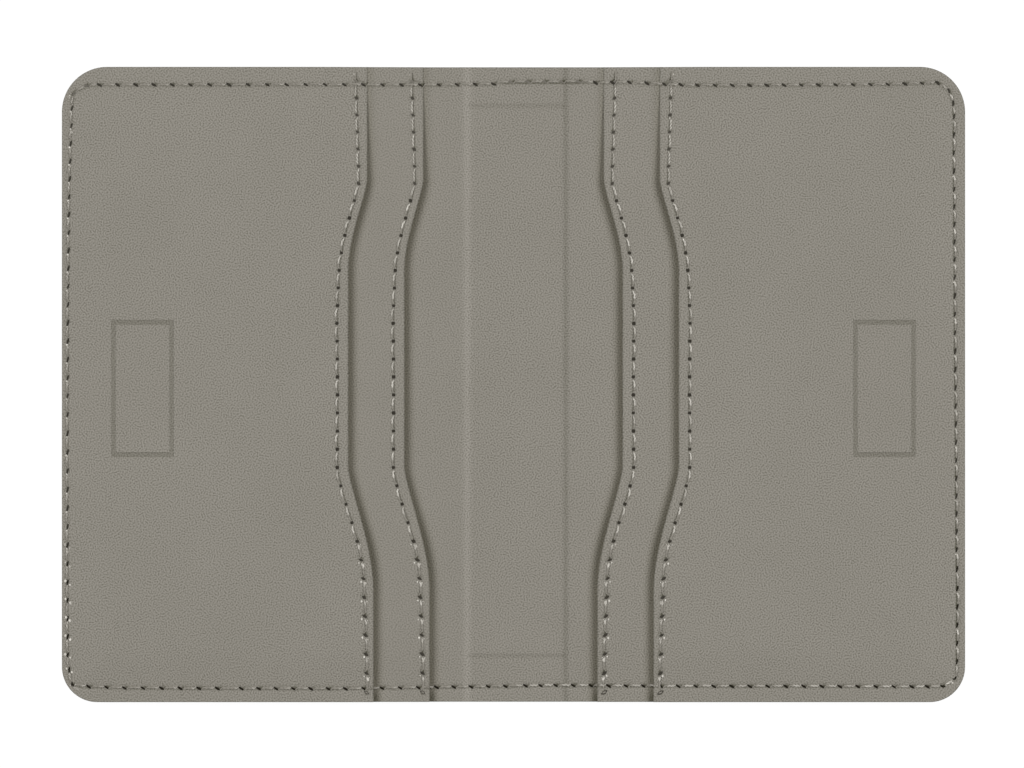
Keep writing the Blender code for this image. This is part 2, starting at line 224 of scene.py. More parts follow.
# Edge seam, which the cover, lining and pockets share. Each half's is given by a few of its needle holes, in
# millimetres out from the wallet's middle and up, with the hole's number counted from the spine's top.
EDGE_HOLES = {
    -1: (
        (-0.40, 45.27, -1.30), (1.90, 45.24, -0.42), (2.98, 44.93, 0), (13.91, 44.78, 4), (25.27, 44.80, 8),
        (48.28, 44.77, 16), (61.88, 44.75, 21), (63.79, 44.69, 22), (65.75, 43.54, 23), (65.98, 41.28, 24),
        (66.07, 38.67, 25), (66.41, 28.05, 29), (66.55, 14.66, 34), (66.64, -1.72, 40), (66.64, -15.71, 45),
        (66.64, -29.55, 50), (66.61, -40.39, 54), (66.40, -42.61, 55), (65.98, -44.82, 56),
        (63.52, -45.15, 57), (58.16, -45.36, 59), (44.27, -45.42, 64), (40.70, -45.43, 65),
        (25.12, -45.47, 71), (11.52, -45.31, 76), (1.23, -45.17, 80), (-0.40, -45.15, 80.56),
    ),
    1: (
        (0.40, 45.28, -4.70), (11.00, 45.30, -0.50), (12.25, 45.13, 0), (17.34, 45.19, 2), (22.57, 44.86, 4),
        (27.50, 44.70, 6), (32.72, 44.68, 8), (45.58, 44.74, 13), (55.93, 44.84, 17), (61.04, 44.99, 19),
        (63.40, 45.10, 20), (65.10, 43.92, 21), (65.74, 42.01, 22), (65.83, 40.02, 23), (65.79, 34.59, 25),
        (65.86, 29.16, 27), (65.93, 16.01, 32), (66.02, 2.20, 37), (66.16, -11.37, 42), (66.23, -24.68, 47),
        (66.34, -30.52, 49), (66.29, -41.44, 53), (66.01, -44.00, 54), (64.12, -45.12, 55),
        (59.51, -45.16, 57), (43.37, -45.10, 63), (27.22, -45.09, 69), (14.20, -45.07, 74),
        (6.29, -45.02, 77), (1.79, -45.09, 79), (0.40, -45.07, 79.44),
    ),
}
TOP_SEAM_INSET = 2.6 * MM
BOTTOM_SEAM_INSET = 2.25 * MM
LINE_STEP = 0.08 * MM
SEARCH_REACH = 4.5 * MM
SEARCH_STEP = 3
SEARCH_BLOCK = 4000
FAR_OFF = 1000 * MM
MOSTLY = 0.7
OUTER_GROOVE_DEPTH = 0.34 * MM
OUTER_GROOVE_REACH = 0.42 * MM
OUTER_GROOVE_WAVE = 0.12


def smooth(value, low, high):
    """0 below low and 1 above high, with the S of 3t squared less 2t cubed between them."""
    share = np.clip((value - low) / (high - low), 0, 1)
    return share * share * (3 - 2 * share)


def hump(value, reach, middle=0):
    """A bell of height 1 at its middle, down to 1/e at the reach from there."""
    return np.exp(-np.square((value - middle) / reach))


def hole_wave(holes):
    """1 at each hole of a seam and -1 halfway to the next, as a cosine of the count of holes passed."""
    return np.cos(2 * math.pi * holes)


def stations(low, high, *finer, step=GRID_STEP):
    """Places from low to high one step apart, and closer ones round each (place, reach, step) given."""
    places = [np.linspace(low, high, round((high - low) / step) + 1)]
    for place, reach, finer_step in finer:
        places.append(np.linspace(place - reach, place + reach, round(2 * reach / finer_step) + 1))
    merged = np.sort(np.concatenate(places))
    merged = merged[(merged > low + SAME_PLACE) & (merged < high - SAME_PLACE)]
    merged = merged[np.diff(merged, prepend=low) > SAME_PLACE]
    return np.concatenate([[low], merged, [high]])


def outer_edge(y):
    """How far out a half's outer edge lies at height y: straight, with a quarter circle at each corner."""
    above = np.clip(y - (TOP - TOP_CORNER), 0, TOP_CORNER)
    below = np.clip(-TOP + BOTTOM_CORNER - y, 0, BOTTOM_CORNER)
    cut_above = TOP_CORNER - np.sqrt(TOP_CORNER**2 - above**2)
    cut_below = BOTTOM_CORNER - np.sqrt(BOTTOM_CORNER**2 - below**2)
    return HALF_WIDTH - cut_above - cut_below


def edge_distance(out, y):
    """Distance in from the wallet's outline: to the nearest straight edge or corner arc."""
    radius = np.where(y > 0, TOP_CORNER, BOTTOM_CORNER)
    across = out - (HALF_WIDTH - radius)
    along = np.abs(y) - (TOP - radius)
    corner = np.hypot(np.maximum(across, 0), np.maximum(along, 0))
    return radius - corner - np.minimum(np.maximum(across, along), 0)


def rounding(distance, radius):
    """How far a surface drops over a rounded edge: a quarter circle of this radius, then nothing."""
    beyond = 1 - np.clip(distance / radius, 0, 1)
    return radius * (1 - np.sqrt(1 - beyond**2))


def directions(line):
    """Unit vectors along a line of places."""
    ahead = np.gradient(line, axis=0)
    return ahead / np.linalg.norm(ahead, axis=1, keepdims=True)


def edge_line(side):
    """The edge seam's line on one half: places an even step apart, the holes passed and the direction there.

    It runs out along the top from the spine's middle, down the side and back along the bottom, straight from
    each given hole to the next.
    """
    out, y, holes = np.array(EDGE_HOLES[side]).T
    out, y = out * MM, y * MM
    along = np.concatenate([[0], np.cumsum(np.hypot(np.diff(out), np.diff(y)))])
    even = np.linspace(0, along[-1], round(along[-1] / LINE_STEP) + 1)
    line = np.stack([np.interp(even, along, out), np.interp(even, along, y)], axis=1)
    return line, np.interp(even, along, holes), directions(line)


EDGE_LINES = {side: edge_line(side) for side in (-1, 1)}


def near_edge_seam(out, y, side):
    """How far inside the edge seam each place lies, negative outside it, and its phase from hole to hole.

    The nearest of every third place of the seam's line is found, and the direction there gives the rest. The
    phase is 0 at a hole and 1 at the next, downwards on a side and to the right along the top and bottom.
    """
    line, holes, ahead = (values[::SEARCH_STEP] for values in EDGE_LINES[side])
    gap = np.full(out.shape, FAR_OFF)
    phase = np.zeros(out.shape)
    close = np.flatnonzero(edge_distance(out, y).ravel() < SEARCH_REACH)
    for some in np.array_split(close, max(len(close) // SEARCH_BLOCK, 1)):
        across, up = out.flat[some][:, None] - line[:, 0], y.flat[some][:, None] - line[:, 1]
        nearest = (across**2 + up**2).argmin(axis=1)
        pick = np.arange(len(some)), nearest
        across, up, facing = across[pick], up[pick], ahead[nearest]
        gap.flat[some] = across * facing[:, 1] - up * facing[:, 0]
        step = np.gradient(holes)[nearest] / (SEARCH_STEP * LINE_STEP)
        count = (holes[nearest] + step * (across * facing[:, 0] + up * facing[:, 1])) % 1
        phase.flat[some] = np.where(side * facing[:, 0] < -MOSTLY, 1 - count, count)
    return gap, phase


def plan(columns, rows, shift=0.0):
    """The (out, y) places of a sheet's grid.

    Each column keeps its place in the middle, takes the shift of the inner edge near that edge, and is drawn
    in with the corner's cut near the outer edge.
    """
    out, y = np.meshgrid(columns, rows)
    near_inner = np.clip(1 - (out - columns[0] - CORNER_KEEP) / CORNER_FADE, 0, 1)
    near_outer = np.clip(1 - (HALF_WIDTH - out - CORNER_KEEP) / CORNER_FADE, 0, 1)
    return out + near_inner * shift + near_outer * (outer_edge(y) - HALF_WIDTH), y


def add_object(name, data):
    """An object of this mesh, camera or lamp in the scene."""
    made = bpy.data.objects.new(name, data)
    bpy.context.scene.collection.objects.link(made)
    return made


def new_piece(name, points, faces, material, values):
    """An object from arrays of points and faces, with one number a point for each named value."""
    mesh = bpy.data.meshes.new(name)
    mesh.from_pydata(points.tolist(), [], faces)
    flat = mesh.attributes.new("flat", "FLOAT_VECTOR", "POINT")
    flat.data.foreach_set("vector", points.astype(np.float32).ravel())
    for value_name, value in values.items():
        attribute = mesh.attributes.new(value_name, "FLOAT", "POINT")
        attribute.data.foreach_set("value", value.astype(np.float32).ravel())
    mesh.shade_smooth()
    mesh.set_sharp_from_angle(angle=SHARP_ANGLE)
    mesh.materials.append(material)
    return add_object(name, mesh)


def closed_sheet(name, side, out, y, upper, lower, material, values, kept=None):
    """A closed sheet over one grid: two faces, and a wall wherever a kept cell has no neighbour.

    upper and lower are the faces' heights. Each value is a pair, for the upper face and the lower one.
    """
    rows, columns = out.shape
    cell = np.zeros((rows + 1, columns + 1), bool)
    cell[1:-1, 1:-1] = True if kept is None else kept
    index = np.arange(rows * columns).reshape(rows, columns)
    corners = {"sw": index[:-1, :-1], "se": index[:-1, 1:], "ne": index[1:, 1:], "nw": index[1:, :-1]}
    here = cell[1:-1, 1:-1]
    below = rows * columns
    faces = [
        np.stack([corners[c][here] for c in ("sw", "se", "ne", "nw")], axis=1),
        np.stack([corners[c][here] + below for c in ("nw", "ne", "se", "sw")], axis=1),
    ]
    sides = (
        ("sw", "se", cell[:-2, 1:-1]),
        ("se", "ne", cell[1:-1, 2:]),
        ("ne", "nw", cell[2:, 1:-1]),
        ("nw", "sw", cell[1:-1, :-2]),
    )
    for first, second, neighbour in sides:
        a, b = corners[first][here & ~neighbour], corners[second][here & ~neighbour]
        faces.append(np.stack([a + below, b + below, b, a], axis=1))
    faces = np.concatenate(faces)[:, ::side]
    used, faces = np.unique(faces, return_inverse=True)
    heights = np.concatenate([upper.ravel(), lower.ravel()])
    flat_out, flat_y = np.tile(out.ravel(), 2), np.tile(y.ravel(), 2)
    points = np.stack([side * flat_out, flat_y, heights], axis=1)[used]
    grids = {key: [np.broadcast_to(value, out.shape) for value in pair] for key, pair in values.items()}
    values = {key: np.concatenate([grid.ravel() for grid in pair])[used] for key, pair in grids.items()}
    return new_piece(name, points, faces.reshape(-1, 4).tolist(), material, values)


def mesh_value(start, name, output="Fac"):
    """A named value of the mesh's points."""
    return start.node("ShaderNodeAttribute", {}, output=output, attribute_name=name)


def pebbled_leather():
    """Imitation leather: a fine net of pale ridges round small dark pits, read from where the sheet lay flat.

    Waves of one length in every direction add up to the net, and their troughs are the pits. The shade value
    is painted shade that darkens seams, pressed lines and folds, browner as it darkens, or a painted
    highlight that lightens the left fold. The edge value brings in the darker cut edge, which has neither the
    net nor its ridges.
    A third value turns the leather to the browner colour of the painted shadows at the mouths' feet, and the
    calm value fades the net.
    """
    material, start, shader = new_material("pebbled_leather", roughness=0.55, specular=0.35)
    flat = mesh_value(start, "flat", output="Vector")
    shade, edge, grime, calm = (mesh_value(start, name) for name in ("shade", "edge", "grime", "calm"))
    waves = {"Vector": flat, "Scale": GRAIN_SCALE, "Frequency": GRAIN_FREQUENCY, "Anisotropy": 0.0}
    ridge = start.node("ShaderNodeTexGabor", waves, output="Value", gabor_type="2D").ramp(0.20, 0.70)
    fleck = flat.noise(GRAIN_FLECK_SCALE, 3.0)
    cloud = flat.noise(GRAIN_CLOUD_SCALE, 3.0)
    net = NET_AVERAGE + (ridge - NET_AVERAGE) * (1 - calm) * (1 - edge)
    tone = (0.602 + net * 0.47) * (0.955 + fleck * 0.09) * (0.95 + cloud * 0.10) * (1 - shade)
    darkened = {0: 1 - tone, 1: SHADE_TINT, 2: (1, 1, 1)}
    tint = start.node("ShaderNodeVectorMath", darkened, operation="MULTIPLY_ADD")
    base = edge.mixed(grime.mixed(LEATHER_COLOUR, SHADOW_TINT_COLOUR), EDGE_COLOUR)
    feed(shader, "Base Color", base.times(tint))
    feed(shader, "Roughness", 0.68 - ridge * 0.16 + fleck * 0.08)
    roughen(shader, ridge * (1 - edge) + fleck * 0.3, PIT_DEPTH)
    return material


LEATHER = pebbled_leather()
HALVES = ((-1, "left"), (1, "right"))
OUTLINE_ROWS = (
    (TOP, 0.3 * MM, 0.04 * MM),
    (-TOP, 0.3 * MM, 0.04 * MM),
    (TOP - 1.4 * MM, 1.4 * MM, 0.2 * MM),
    (-TOP + 1.4 * MM, 1.4 * MM, 0.2 * MM),
    (TOP - TOP_SEAM_INSET, 0.8 * MM, FINE_STEP),
    (-TOP + BOTTOM_SEAM_INSET, 0.7 * MM, FINE_STEP),
)
OUTLINE_COLUMNS = (
    (HALF_WIDTH, 0.3 * MM, 0.04 * MM),
    (HALF_WIDTH - 1.3 * MM, 1.0 * MM, FINE_STEP),
)


def fold_out(side):
    """How far out a half's fold line lies."""
    return abs(LEFT_FOLD if side < 0 else RIGHT_FOLD)


def with_left(side, *spine_nodes):
    """The spine's nodes, which the left half's piece replaces together with its own."""
    return spine_nodes if side < 0 else ()


def bend_at_fold(piece, side):
    """Works out the span of a bend round the fold line, which is not used, and sets the piece's transform
    into its mesh.
    """
    fold = side * fold_out(side)
    start, end = (fold - side * BEND_REACH, 0, 0), (fold + side * BEND_REACH, 0, 0)
    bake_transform(piece)


for side, half in HALVES:
    fold_columns = (fold_out(side), 1.2 * MM, 0.12 * MM)
    columns = stations(side * SPINE_MIDDLE, HALF_WIDTH, fold_columns, *OUTLINE_COLUMNS, step=COVER_STEP)
    out, y = plan(columns, stations(-TOP, TOP, *OUTLINE_ROWS, step=COVER_STEP))
    inward = edge_distance(out, y)
    from_seam, phase = near_edge_seam(out, y, side)
    groove = OUTER_GROOVE_DEPTH * hump(from_seam, OUTER_GROOVE_REACH)
    groove = groove * (1 - OUTER_GROOVE_WAVE + OUTER_GROOVE_WAVE * hole_wave(phase))
    crease = hump(out - fold_out(side), COVER_CREASE_REACH)
    lower = rounding(inward, RIM) + groove + COVER_CREASE_DEPTH * crease
    upper = COVER_TOP - rounding(inward, COVER_INNER_RIM)
    under_shade = 0.30 * hump(from_seam, 0.3 * MM) + 0.10 * crease
    values = {"shade": (0, under_shade), "edge": (inward < CUT_EDGE, hump(inward, 0.09 * MM))}
    piece = closed_sheet("cover_" + half + "_half", side, out, y, upper, lower, LEATHER, values)
    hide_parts(half + "_cover", half + "_cover_crease", *with_left(side, "spine_cover"))
    bend_at_fold(piece, side)

# Lining
# The inside sheet, of the same pebbled leather, over the boards. It dips beyond their ends, where it is glued
# down, and keeps the marks of both folds: the left one raised a little with a painted highlight, the right
# one pressed in with painted shade.

LINING_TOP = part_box("left_lining")[1][2]
BOARD_LOW_CORNER, BOARD_HIGH_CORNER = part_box("spine_board")
BOARD_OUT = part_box("right_board")[1][0]
BOARD_TOP = BOARD_HIGH_CORNER[2]
BOARD_ROOM = 0.15 * MM
PAST_BOARD = (0.3 * MM, 1.9 * MM)
BOARD_END_REACH = 0.34 * MM
BOARD_END_DEPTH = 0.09 * MM
BOARD_END_SHADE = 0.115
LAYER_GAP = 0.03 * MM
EDGE_SQUEEZE = (0.6 * MM, 8.0 * MM)
LINING_SQUEEZE = 0.22 * MM
LINING_CALM = {-1: 0.17, 1: 0.0}
HIDDEN_STEP = 1.5 * MM
SHOWN_PAST_MOUTH = 2 * MM
SEAM_DIP = 0.10 * MM
SEAM_DIP_WAVE = 0.55
SEAM_DIP_REACH = 0.50 * MM
SEAM_THREAD_SIDE = 0.12 * MM
SEAM_CORNER = (6.0 * MM, 4.5 * MM)
SLIT_SHADE = {-1: (0.14, 0.14), 1: (0.44, 0.66)}
SLIT_CHANGE = (2 * MM, 12 * MM)
# Thin lines of painted shade beside the thread: their reach, and how far inside the seam or above it they
# lie.
SLIT_LINE = (0.11 * MM, 0.10 * MM)
TOP_WISP = (0.13 * MM, 0.20 * MM)
BOTTOM_WISP = (0.23 * MM, 0.08 * MM)
LATE_WISP = (0.11 * MM, -0.19 * MM)
FAINT_DARK_LINE = (0.13 * MM, -0.20 * MM)
FAINT_WIDE_LINE = (0.24 * MM, 0.10 * MM)
HOLE_SURROUND = 0.29 * MM
FAINT_STRETCH = (-1.2 * MM, 10.8 * MM)
FAINT_FADE = 0.4 * MM
# How each fold shows: its painted shade, negative for a painted highlight, its height, its reach and how far
# out beside the fold it lies.
FOLD_MARKS = {-1: (-0.17, 0.05 * MM, 0.58 * MM, 0.0), 1: (0.21, -0.13 * MM, 0.42 * MM, 0.06 * MM)}
SPINE_FADE = 0.4 * MM
MOUTH_FROM_FOLD = 5.19 * MM
MOUTH_MIDDLE_RISE = 3.755 * MM
MOUTH_TOP_RISE = 0.94 * MM
LOWER_BEND = (-12.3 * MM, -30.8 * MM)
UPPER_BEND = (30.6 * MM, 17.0 * MM)
FRONT_MOUTH_SPACING = 8.38 * MM
HALF_FOLDS = (RIGHT_FOLD - LEFT_FOLD) / 2
SLOPE_STEP = 0.1 * MM
FOOT_SHADE = 0.20
FOOT_REACH = 0.60 * MM
FOOT_OFFSET = 0.25 * MM
# How far the painted shadow's browner tint reaches out from a mouth.
SHADOW_TINT_REACH = 0.95 * MM
# Stretches of a mouth's foot: their reach and middle height, and where its dark end lies below the middle.
FOOT_LOW_BEND = (5 * MM, -25 * MM)
FOOT_PALE_STRETCH = (3 * MM, -18.5 * MM)
FOOT_DARK_END = (45.5 * MM, 47 * MM)
PRESS_START = 28.5 * MM
PRESS_END = 45.0 * MM


def bend(y, start, end):
    """0 before the start and 1 after the end of a mouth's bend, which leaves its start at an angle.

    It is one less the power 1.9 of one less the power 1.35 of the share gone by.
    """
    share = np.clip((y - start) / (end - start), 0, 1)
    return 1 - (1 - share**1.35) ** 1.9


def mouth_out(y, spacing):
    """How far out a pocket's mouth lies at height y: three straight stretches joined by two bends."""
    out = HALF_FOLDS + MOUTH_FROM_FOLD + spacing + MOUTH_MIDDLE_RISE * (1 - bend(y, *LOWER_BEND))
    return out - (MOUTH_MIDDLE_RISE - MOUTH_TOP_RISE) * (1 - bend(y, *UPPER_BEND))


def pressed_share(y):
    """How far a mouth is pressed flat by the top seam: not at all below its start, fully at the top."""
    return np.clip((y - PRESS_START) / (PRESS_END - PRESS_START), 0, 1) ** 0.7


def foot_of_mouth(out, y, spacing):
    """The painted shadow and its painted browner tint on a sheet along the foot of the mouth above it.

    The shade is painted shadow, a bell of the distance from the mouth. It is deeper and wider where the mouth
    runs aslant, at the middle of the low bend and at the bottom, and fainter where the top seam presses the
    mouth flat.
    """
    away = np.maximum(mouth_out(y, spacing) - out, 0)
    slope = np.abs(mouth_out(y + SLOPE_STEP, spacing) - mouth_out(y - SLOPE_STEP, spacing)) / (2 * SLOPE_STEP)
    pressed = pressed_share(y)
    at_top = smooth(pressed, 0, 0.3)
    at_bottom = smooth(-y, *FOOT_DARK_END)
    low_bend = hump(y, *FOOT_LOW_BEND)
    depth = 1 + slope * (1.5 - 0.8 * hump(y, *FOOT_PALE_STRETCH)) + 0.3 * low_bend
    depth = FOOT_SHADE * depth * (1 - 0.3 * pressed) * (1 + 1.5 * at_bottom)
    reach = 1 + 0.6 * slope + 0.3 * low_bend + 0.45 * at_top - 0.15 * pressed + 0.25 * at_bottom
    # The painted browner tint of this shadow, weaker and narrower where the mouth is pressed flat.
    grime = (1 - 0.7 * pressed) * hump(away, SHADOW_TINT_REACH * (1 - 0.4 * pressed))
    return depth * hump(away - FOOT_OFFSET * (0.8 * low_bend + at_top), FOOT_REACH * reach), grime


def layer_height(level, squeeze, out, y):
    """Height of a layer's face: level in the middle and squeezed together by the seam towards the edge."""
    return level - squeeze * (1 - smooth(edge_distance(out, y), *EDGE_SQUEEZE))


def faint_share(out, y, side):
    """1 on the stretch of the edge seam over the spine's top, where the holes are shallow, or else 0."""
    start, end = FAINT_STRETCH
    begun = smooth(side * out, start - FAINT_FADE, start)
    return begun * (1 - smooth(side * out, end, end + FAINT_FADE)) * (y > 0)


def seam_dip(out, y, side):
    """How far the edge seam pulls the leather down, deepest at each hole, and the painted shade it puts on
    the leather.

    On a side a painted shadow line runs inside the thread, and painted shade darkens the leather above each
    hole.
    Along the top and bottom painted shade darkens it to the right of each hole, and a thin painted shadow
    line runs first above the thread and then below it. Where the holes are shallow, a faint painted shadow
    line runs beside the thread.
    """
    from_seam, phase = near_edge_seam(out, y, side)
    by_hole = hole_wave(phase)
    dip = SEAM_DIP * hump(from_seam + SEAM_THREAD_SIDE / 2, SEAM_DIP_REACH) * (1 + SEAM_DIP_WAVE * by_hole)
    on_side = 1 - smooth(np.abs(y), *(TOP - inset for inset in SEAM_CORNER))
    high_slit, low_slit = SLIT_SHADE[side]
    slit = high_slit + (low_slit - high_slit) * smooth(-y, *SLIT_CHANGE)
    slit = slit * hump(from_seam, *SLIT_LINE) * smooth(phase, 0.12, 0.3)
    above = np.where(y > 0, -from_seam, from_seam)
    early = np.where(y < 0, hump(above, *BOTTOM_WISP), hump(above, *TOP_WISP))
    wisps = 0.30 * (1 - smooth(phase, 0.35, 0.65)) * early
    late = 0.28 * smooth(phase, 0.25, 0.45) * (1 - smooth(phase, 0.85, 0.97))
    wisps = wisps + late * hump(above, *LATE_WISP)
    near = on_side * smooth(phase, 0.70, 0.95) + (1 - on_side) * (1 - smooth(phase, 0.12, 0.38))
    around = hump(from_seam, HOLE_SURROUND) * (0.16 * np.maximum(by_hole, 0) ** 2 + 0.30 * near)
    faint = 0.30 * hump(above, *FAINT_DARK_LINE) + 0.10 * hump(above, *FAINT_WIDE_LINE)
    faint = faint_share(out, y, side) * faint
    return dip, on_side * slit + (1 - on_side) * wisps + around + faint


def partly_hidden(low, mouth, *finer):
    """Columns from low to the outer edge, wide apart past the next sheet's mouth, which hides them."""
    shown = mouth + SHOWN_PAST_MOUTH
    hidden = stations(shown, HALF_WIDTH, *OUTLINE_COLUMNS, step=HIDDEN_STEP)
    return np.concatenate([stations(low, shown, *finer), hidden[1:]])


def inside_sheet(name, side, out, y, upper, lower, shade, grime, calm):
    """A leather sheet of the inside, with a darker cut edge and the looks given for its upper face."""
    inward = edge_distance(out, y)
    edge = 0.4 * hump(inward, 0.06 * MM), inward < CUT_EDGE
    values = {"shade": (shade, 0), "grime": (grime, 0), "calm": (calm, 0), "edge": edge}
    return closed_sheet(name, side, out, y, upper, lower, LEATHER, values)


for side, half in HALVES:
    mark_shade, mark_height, mark_reach, mark_shift = FOLD_MARKS[side]
    fold_columns = (fold_out(side) + mark_shift, 1.4 * MM, 0.1 * MM)
    foot_columns = (mouth_out(0, 0) - 2 * MM, 2.2 * MM, 0.2 * MM)
    columns = partly_hidden(side * SPINE_MIDDLE, mouth_out(0, 0), fold_columns, foot_columns)
    board_rows = [(end, 0.8 * MM, 0.1 * MM) for end in (BOARD_LOW_CORNER[1], BOARD_HIGH_CORNER[1])]
    out, y = plan(columns, stations(-TOP, TOP, *OUTLINE_ROWS, *board_rows))
    inward = edge_distance(out, y)
    dip, seam_shade = seam_dip(out, y, side)
    fold_mark = hump(out - fold_out(side), mark_reach, mark_shift)
    in_spine = 1 - smooth(out, fold_out(side) - SPINE_FADE, fold_out(side) + SPINE_FADE)
    above_board, below_board = y - BOARD_HIGH_CORNER[1], BOARD_LOW_CORNER[1] - y
    board_end = hump(above_board, BOARD_END_REACH) + hump(below_board, BOARD_END_REACH)
    past_board = np.maximum(out - BOARD_OUT, np.maximum(above_board, below_board))
    upper = layer_height(LINING_TOP, LINING_SQUEEZE, out, y) - rounding(inward, RIM) - dip
    upper = upper + mark_height * fold_mark - BOARD_END_DEPTH * board_end * in_spine
    glued = COVER_TOP + LAYER_GAP
    lower = BOARD_TOP + BOARD_ROOM + (glued - BOARD_TOP - BOARD_ROOM) * smooth(past_board, *PAST_BOARD)
    # Painted highlight or shade at the fold, painted shade at the boards' ends and along the seams.
    shade = mark_shade * fold_mark + BOARD_END_SHADE * board_end * in_spine + seam_shade
    foot_shade, grime = foot_of_mouth(out, y, 0)
    shade = shade + foot_shade
    calm = LINING_CALM[side] * (1 - in_spine)
    piece = inside_sheet("lining_" + half + "_half", side, out, y, upper, lower, shade, grime, calm)
    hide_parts(half + "_lining", half + "_lining_crease", *with_left(side, "spine_lining"))
    bend_at_fold(piece, side)

# Card pockets
# Two on each half, one over the other. Each is a leather face whose wavy mouth is turned under and sewn down,
# so the mouth is a full round edge and the face behind it is thinner. The outer edges are sewn in all round.

SLOT_GAP = 0.15 * MM
FACE_THICKNESS = 0.5 * MM
THINNEST = 0.02 * MM
HEM_WIDTH = 6.0 * MM
HEM_FADE = 1.5 * MM
FRONT_STEP = 0.6 * MM
MOUTH_ROUND = 0.24 * MM
MOUTH_SEAM_DIP = 0.11 * MM
MOUTH_SEAM_DIP_WAVE = 0.5
MOUTH_SEAM_DIP_REACH = 0.45 * MM
REAR_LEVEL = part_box("left_rear_pocket")[1][2]
FRONT_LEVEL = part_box("left_front_pocket")[1][2]
REAR_SQUEEZE = 0.36 * MM
FRONT_SQUEEZE = 0.50 * MM
REAR = (0, REAR_LEVEL, REAR_SQUEEZE, LINING_TOP, LINING_SQUEEZE)
FRONT = (FRONT_MOUTH_SPACING, FRONT_LEVEL, FRONT_SQUEEZE, REAR_LEVEL, REAR_SQUEEZE)
POCKETS = (("rear", REAR), ("front", FRONT))
PRESSED_HEIGHT = 0.33 * MM
PRESSED_LIP = 0.05 * MM
PRESSED_EDGE = (-0.15 * MM, 1.0 * MM)
CLOSED_EDGE = (1.0 * MM, 3.0 * MM)
FILLED_EDGE = (3.0 * MM, 4.5 * MM)
LIP_SHADE = 0.12
LIP_SHADE_REACH = 0.20 * MM
LAST_HOLE_HEIGHT = -46.10 * MM
PRESS_SLOPE = 8.0 * MM
SEAM_TOP_FADE = (46.3 * MM, 46.8 * MM)
SEAM_TAIL_TOP = 45.63 * MM
SEAM_TAIL_SLOPE = 0.375
SEAM_TAIL_REACH = 0.12 * MM
SEAM_TAIL_START = (-1.35 * MM, -1.1 * MM)
SEAM_TAIL_END = (-0.1 * MM, 0.1 * MM)
# Marks of a mouth's seam: their reach, and how far they lie behind it or from its last hole.
MOUTH_SLIT_LINE = (0.11 * MM, -0.08 * MM)
STITCH_END_SHADE_LINE = (0.20 * MM, -0.42 * MM)
LAST_HOLE_RING = (0.08 * MM, 0.22 * MM)
MOUTH_FIRST_HOLE = 42.83 * MM
FIRST_STITCHES_PER_METRE = 394.7
STITCHES_LOST = 262.7
# The mouth seams' distance behind the mouth at a few heights, in millimetres.
MOUTH_SEAM_WANDER = (
    (-47.0, 1.04), (-43.0, 1.06), (-36.0, 1.24), (-31.0, 1.46), (-23.0, 1.44), (-17.0, 1.70), (0.0, 1.62),
    (10.0, 1.72), (14.0, 1.54), (20.0, 1.25), (30.0, 1.23), (43.0, 1.66), (47.0, 1.73),
)
MAGNET_LOW, MAGNET_HIGH = (np.array(corner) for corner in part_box("right_magnet"))
FRAME_GAP = 0.54 * MM
FRAME_HALF_LINE = 0.335 * MM
FRAME_DEPTH = 0.10 * MM
FRAME_WALL = 0.08 * MM
FRAME_SHADE = 0.25
MOUTH_LOW_THIRD = (21 * MM, 26 * MM)
MOUTH_TOP_PART = (26 * MM, 31 * MM)
MOUTH_SEAM_FIRST = (44.3 * MM, 44.5 * MM)
MOUTH_SEAM_LAST = (44.6 * MM, 44.8 * MM)
REAR_CALM = {-1: 0.24, 1: 0.0}


def mouth_seam_inset(y):
    """How far behind the mouth its seam runs, which wanders by a fraction of a millimetre."""
    heights, insets = np.array(MOUTH_SEAM_WANDER).T * MM
    return np.interp(y, heights, insets)


def mouth_holes(y):
    """The count of holes passed on the way down a mouth's seam, whose stitches lengthen on the way."""
    down = MOUTH_FIRST_HOLE - y
    return FIRST_STITCHES_PER_METRE * down - STITCHES_LOST * down**2


def pocket_face(layer, out, y):
    """Height of a pocket's face, which slopes down to the mouth where the top seam presses that flat.

    A layer is how much further out its mouth lies than the rear one, the level and squeeze of its face, and
    those of the sheet below.
    """
    spacing, level, squeeze, below_level, below_squeeze = layer
    behind = out - mouth_out(y, spacing)
    face = layer_height(level, squeeze, out, y)
    height = face - layer_height(below_level, below_squeeze, out, y)
    slope = (height - PRESSED_HEIGHT) * (1 - smooth(behind, 0, PRESS_SLOPE))
    turned = (PRESSED_HEIGHT - PRESSED_LIP) * (1 - smooth(behind, *PRESSED_EDGE))
    return face - pressed_share(y) * (slope + turned)


def magnet_frame(out, y):
    """1 on the line pressed round the magnet and 0 off it, with a steep wall between, and square corners."""
    centre = (MAGNET_LOW + MAGNET_HIGH) / 2
    half_size = (MAGNET_HIGH - MAGNET_LOW) / 2 + FRAME_GAP
    off = np.maximum(np.abs(out - centre[0]) - half_size[0], np.abs(y - centre[1]) - half_size[1])
    return 1 - smooth(np.abs(off), FRAME_HALF_LINE - FRAME_WALL / 2, FRAME_HALF_LINE + FRAME_WALL / 2)


def frame_marks(axis):
    """Where the pressed frame's lines cross one axis, as finer stations of a grid."""
    lines = (MAGNET_LOW[axis] - FRAME_GAP, MAGNET_HIGH[axis] + FRAME_GAP)
    return [(line, FRAME_HALF_LINE + 0.15 * MM, 0.08 * MM) for line in lines]


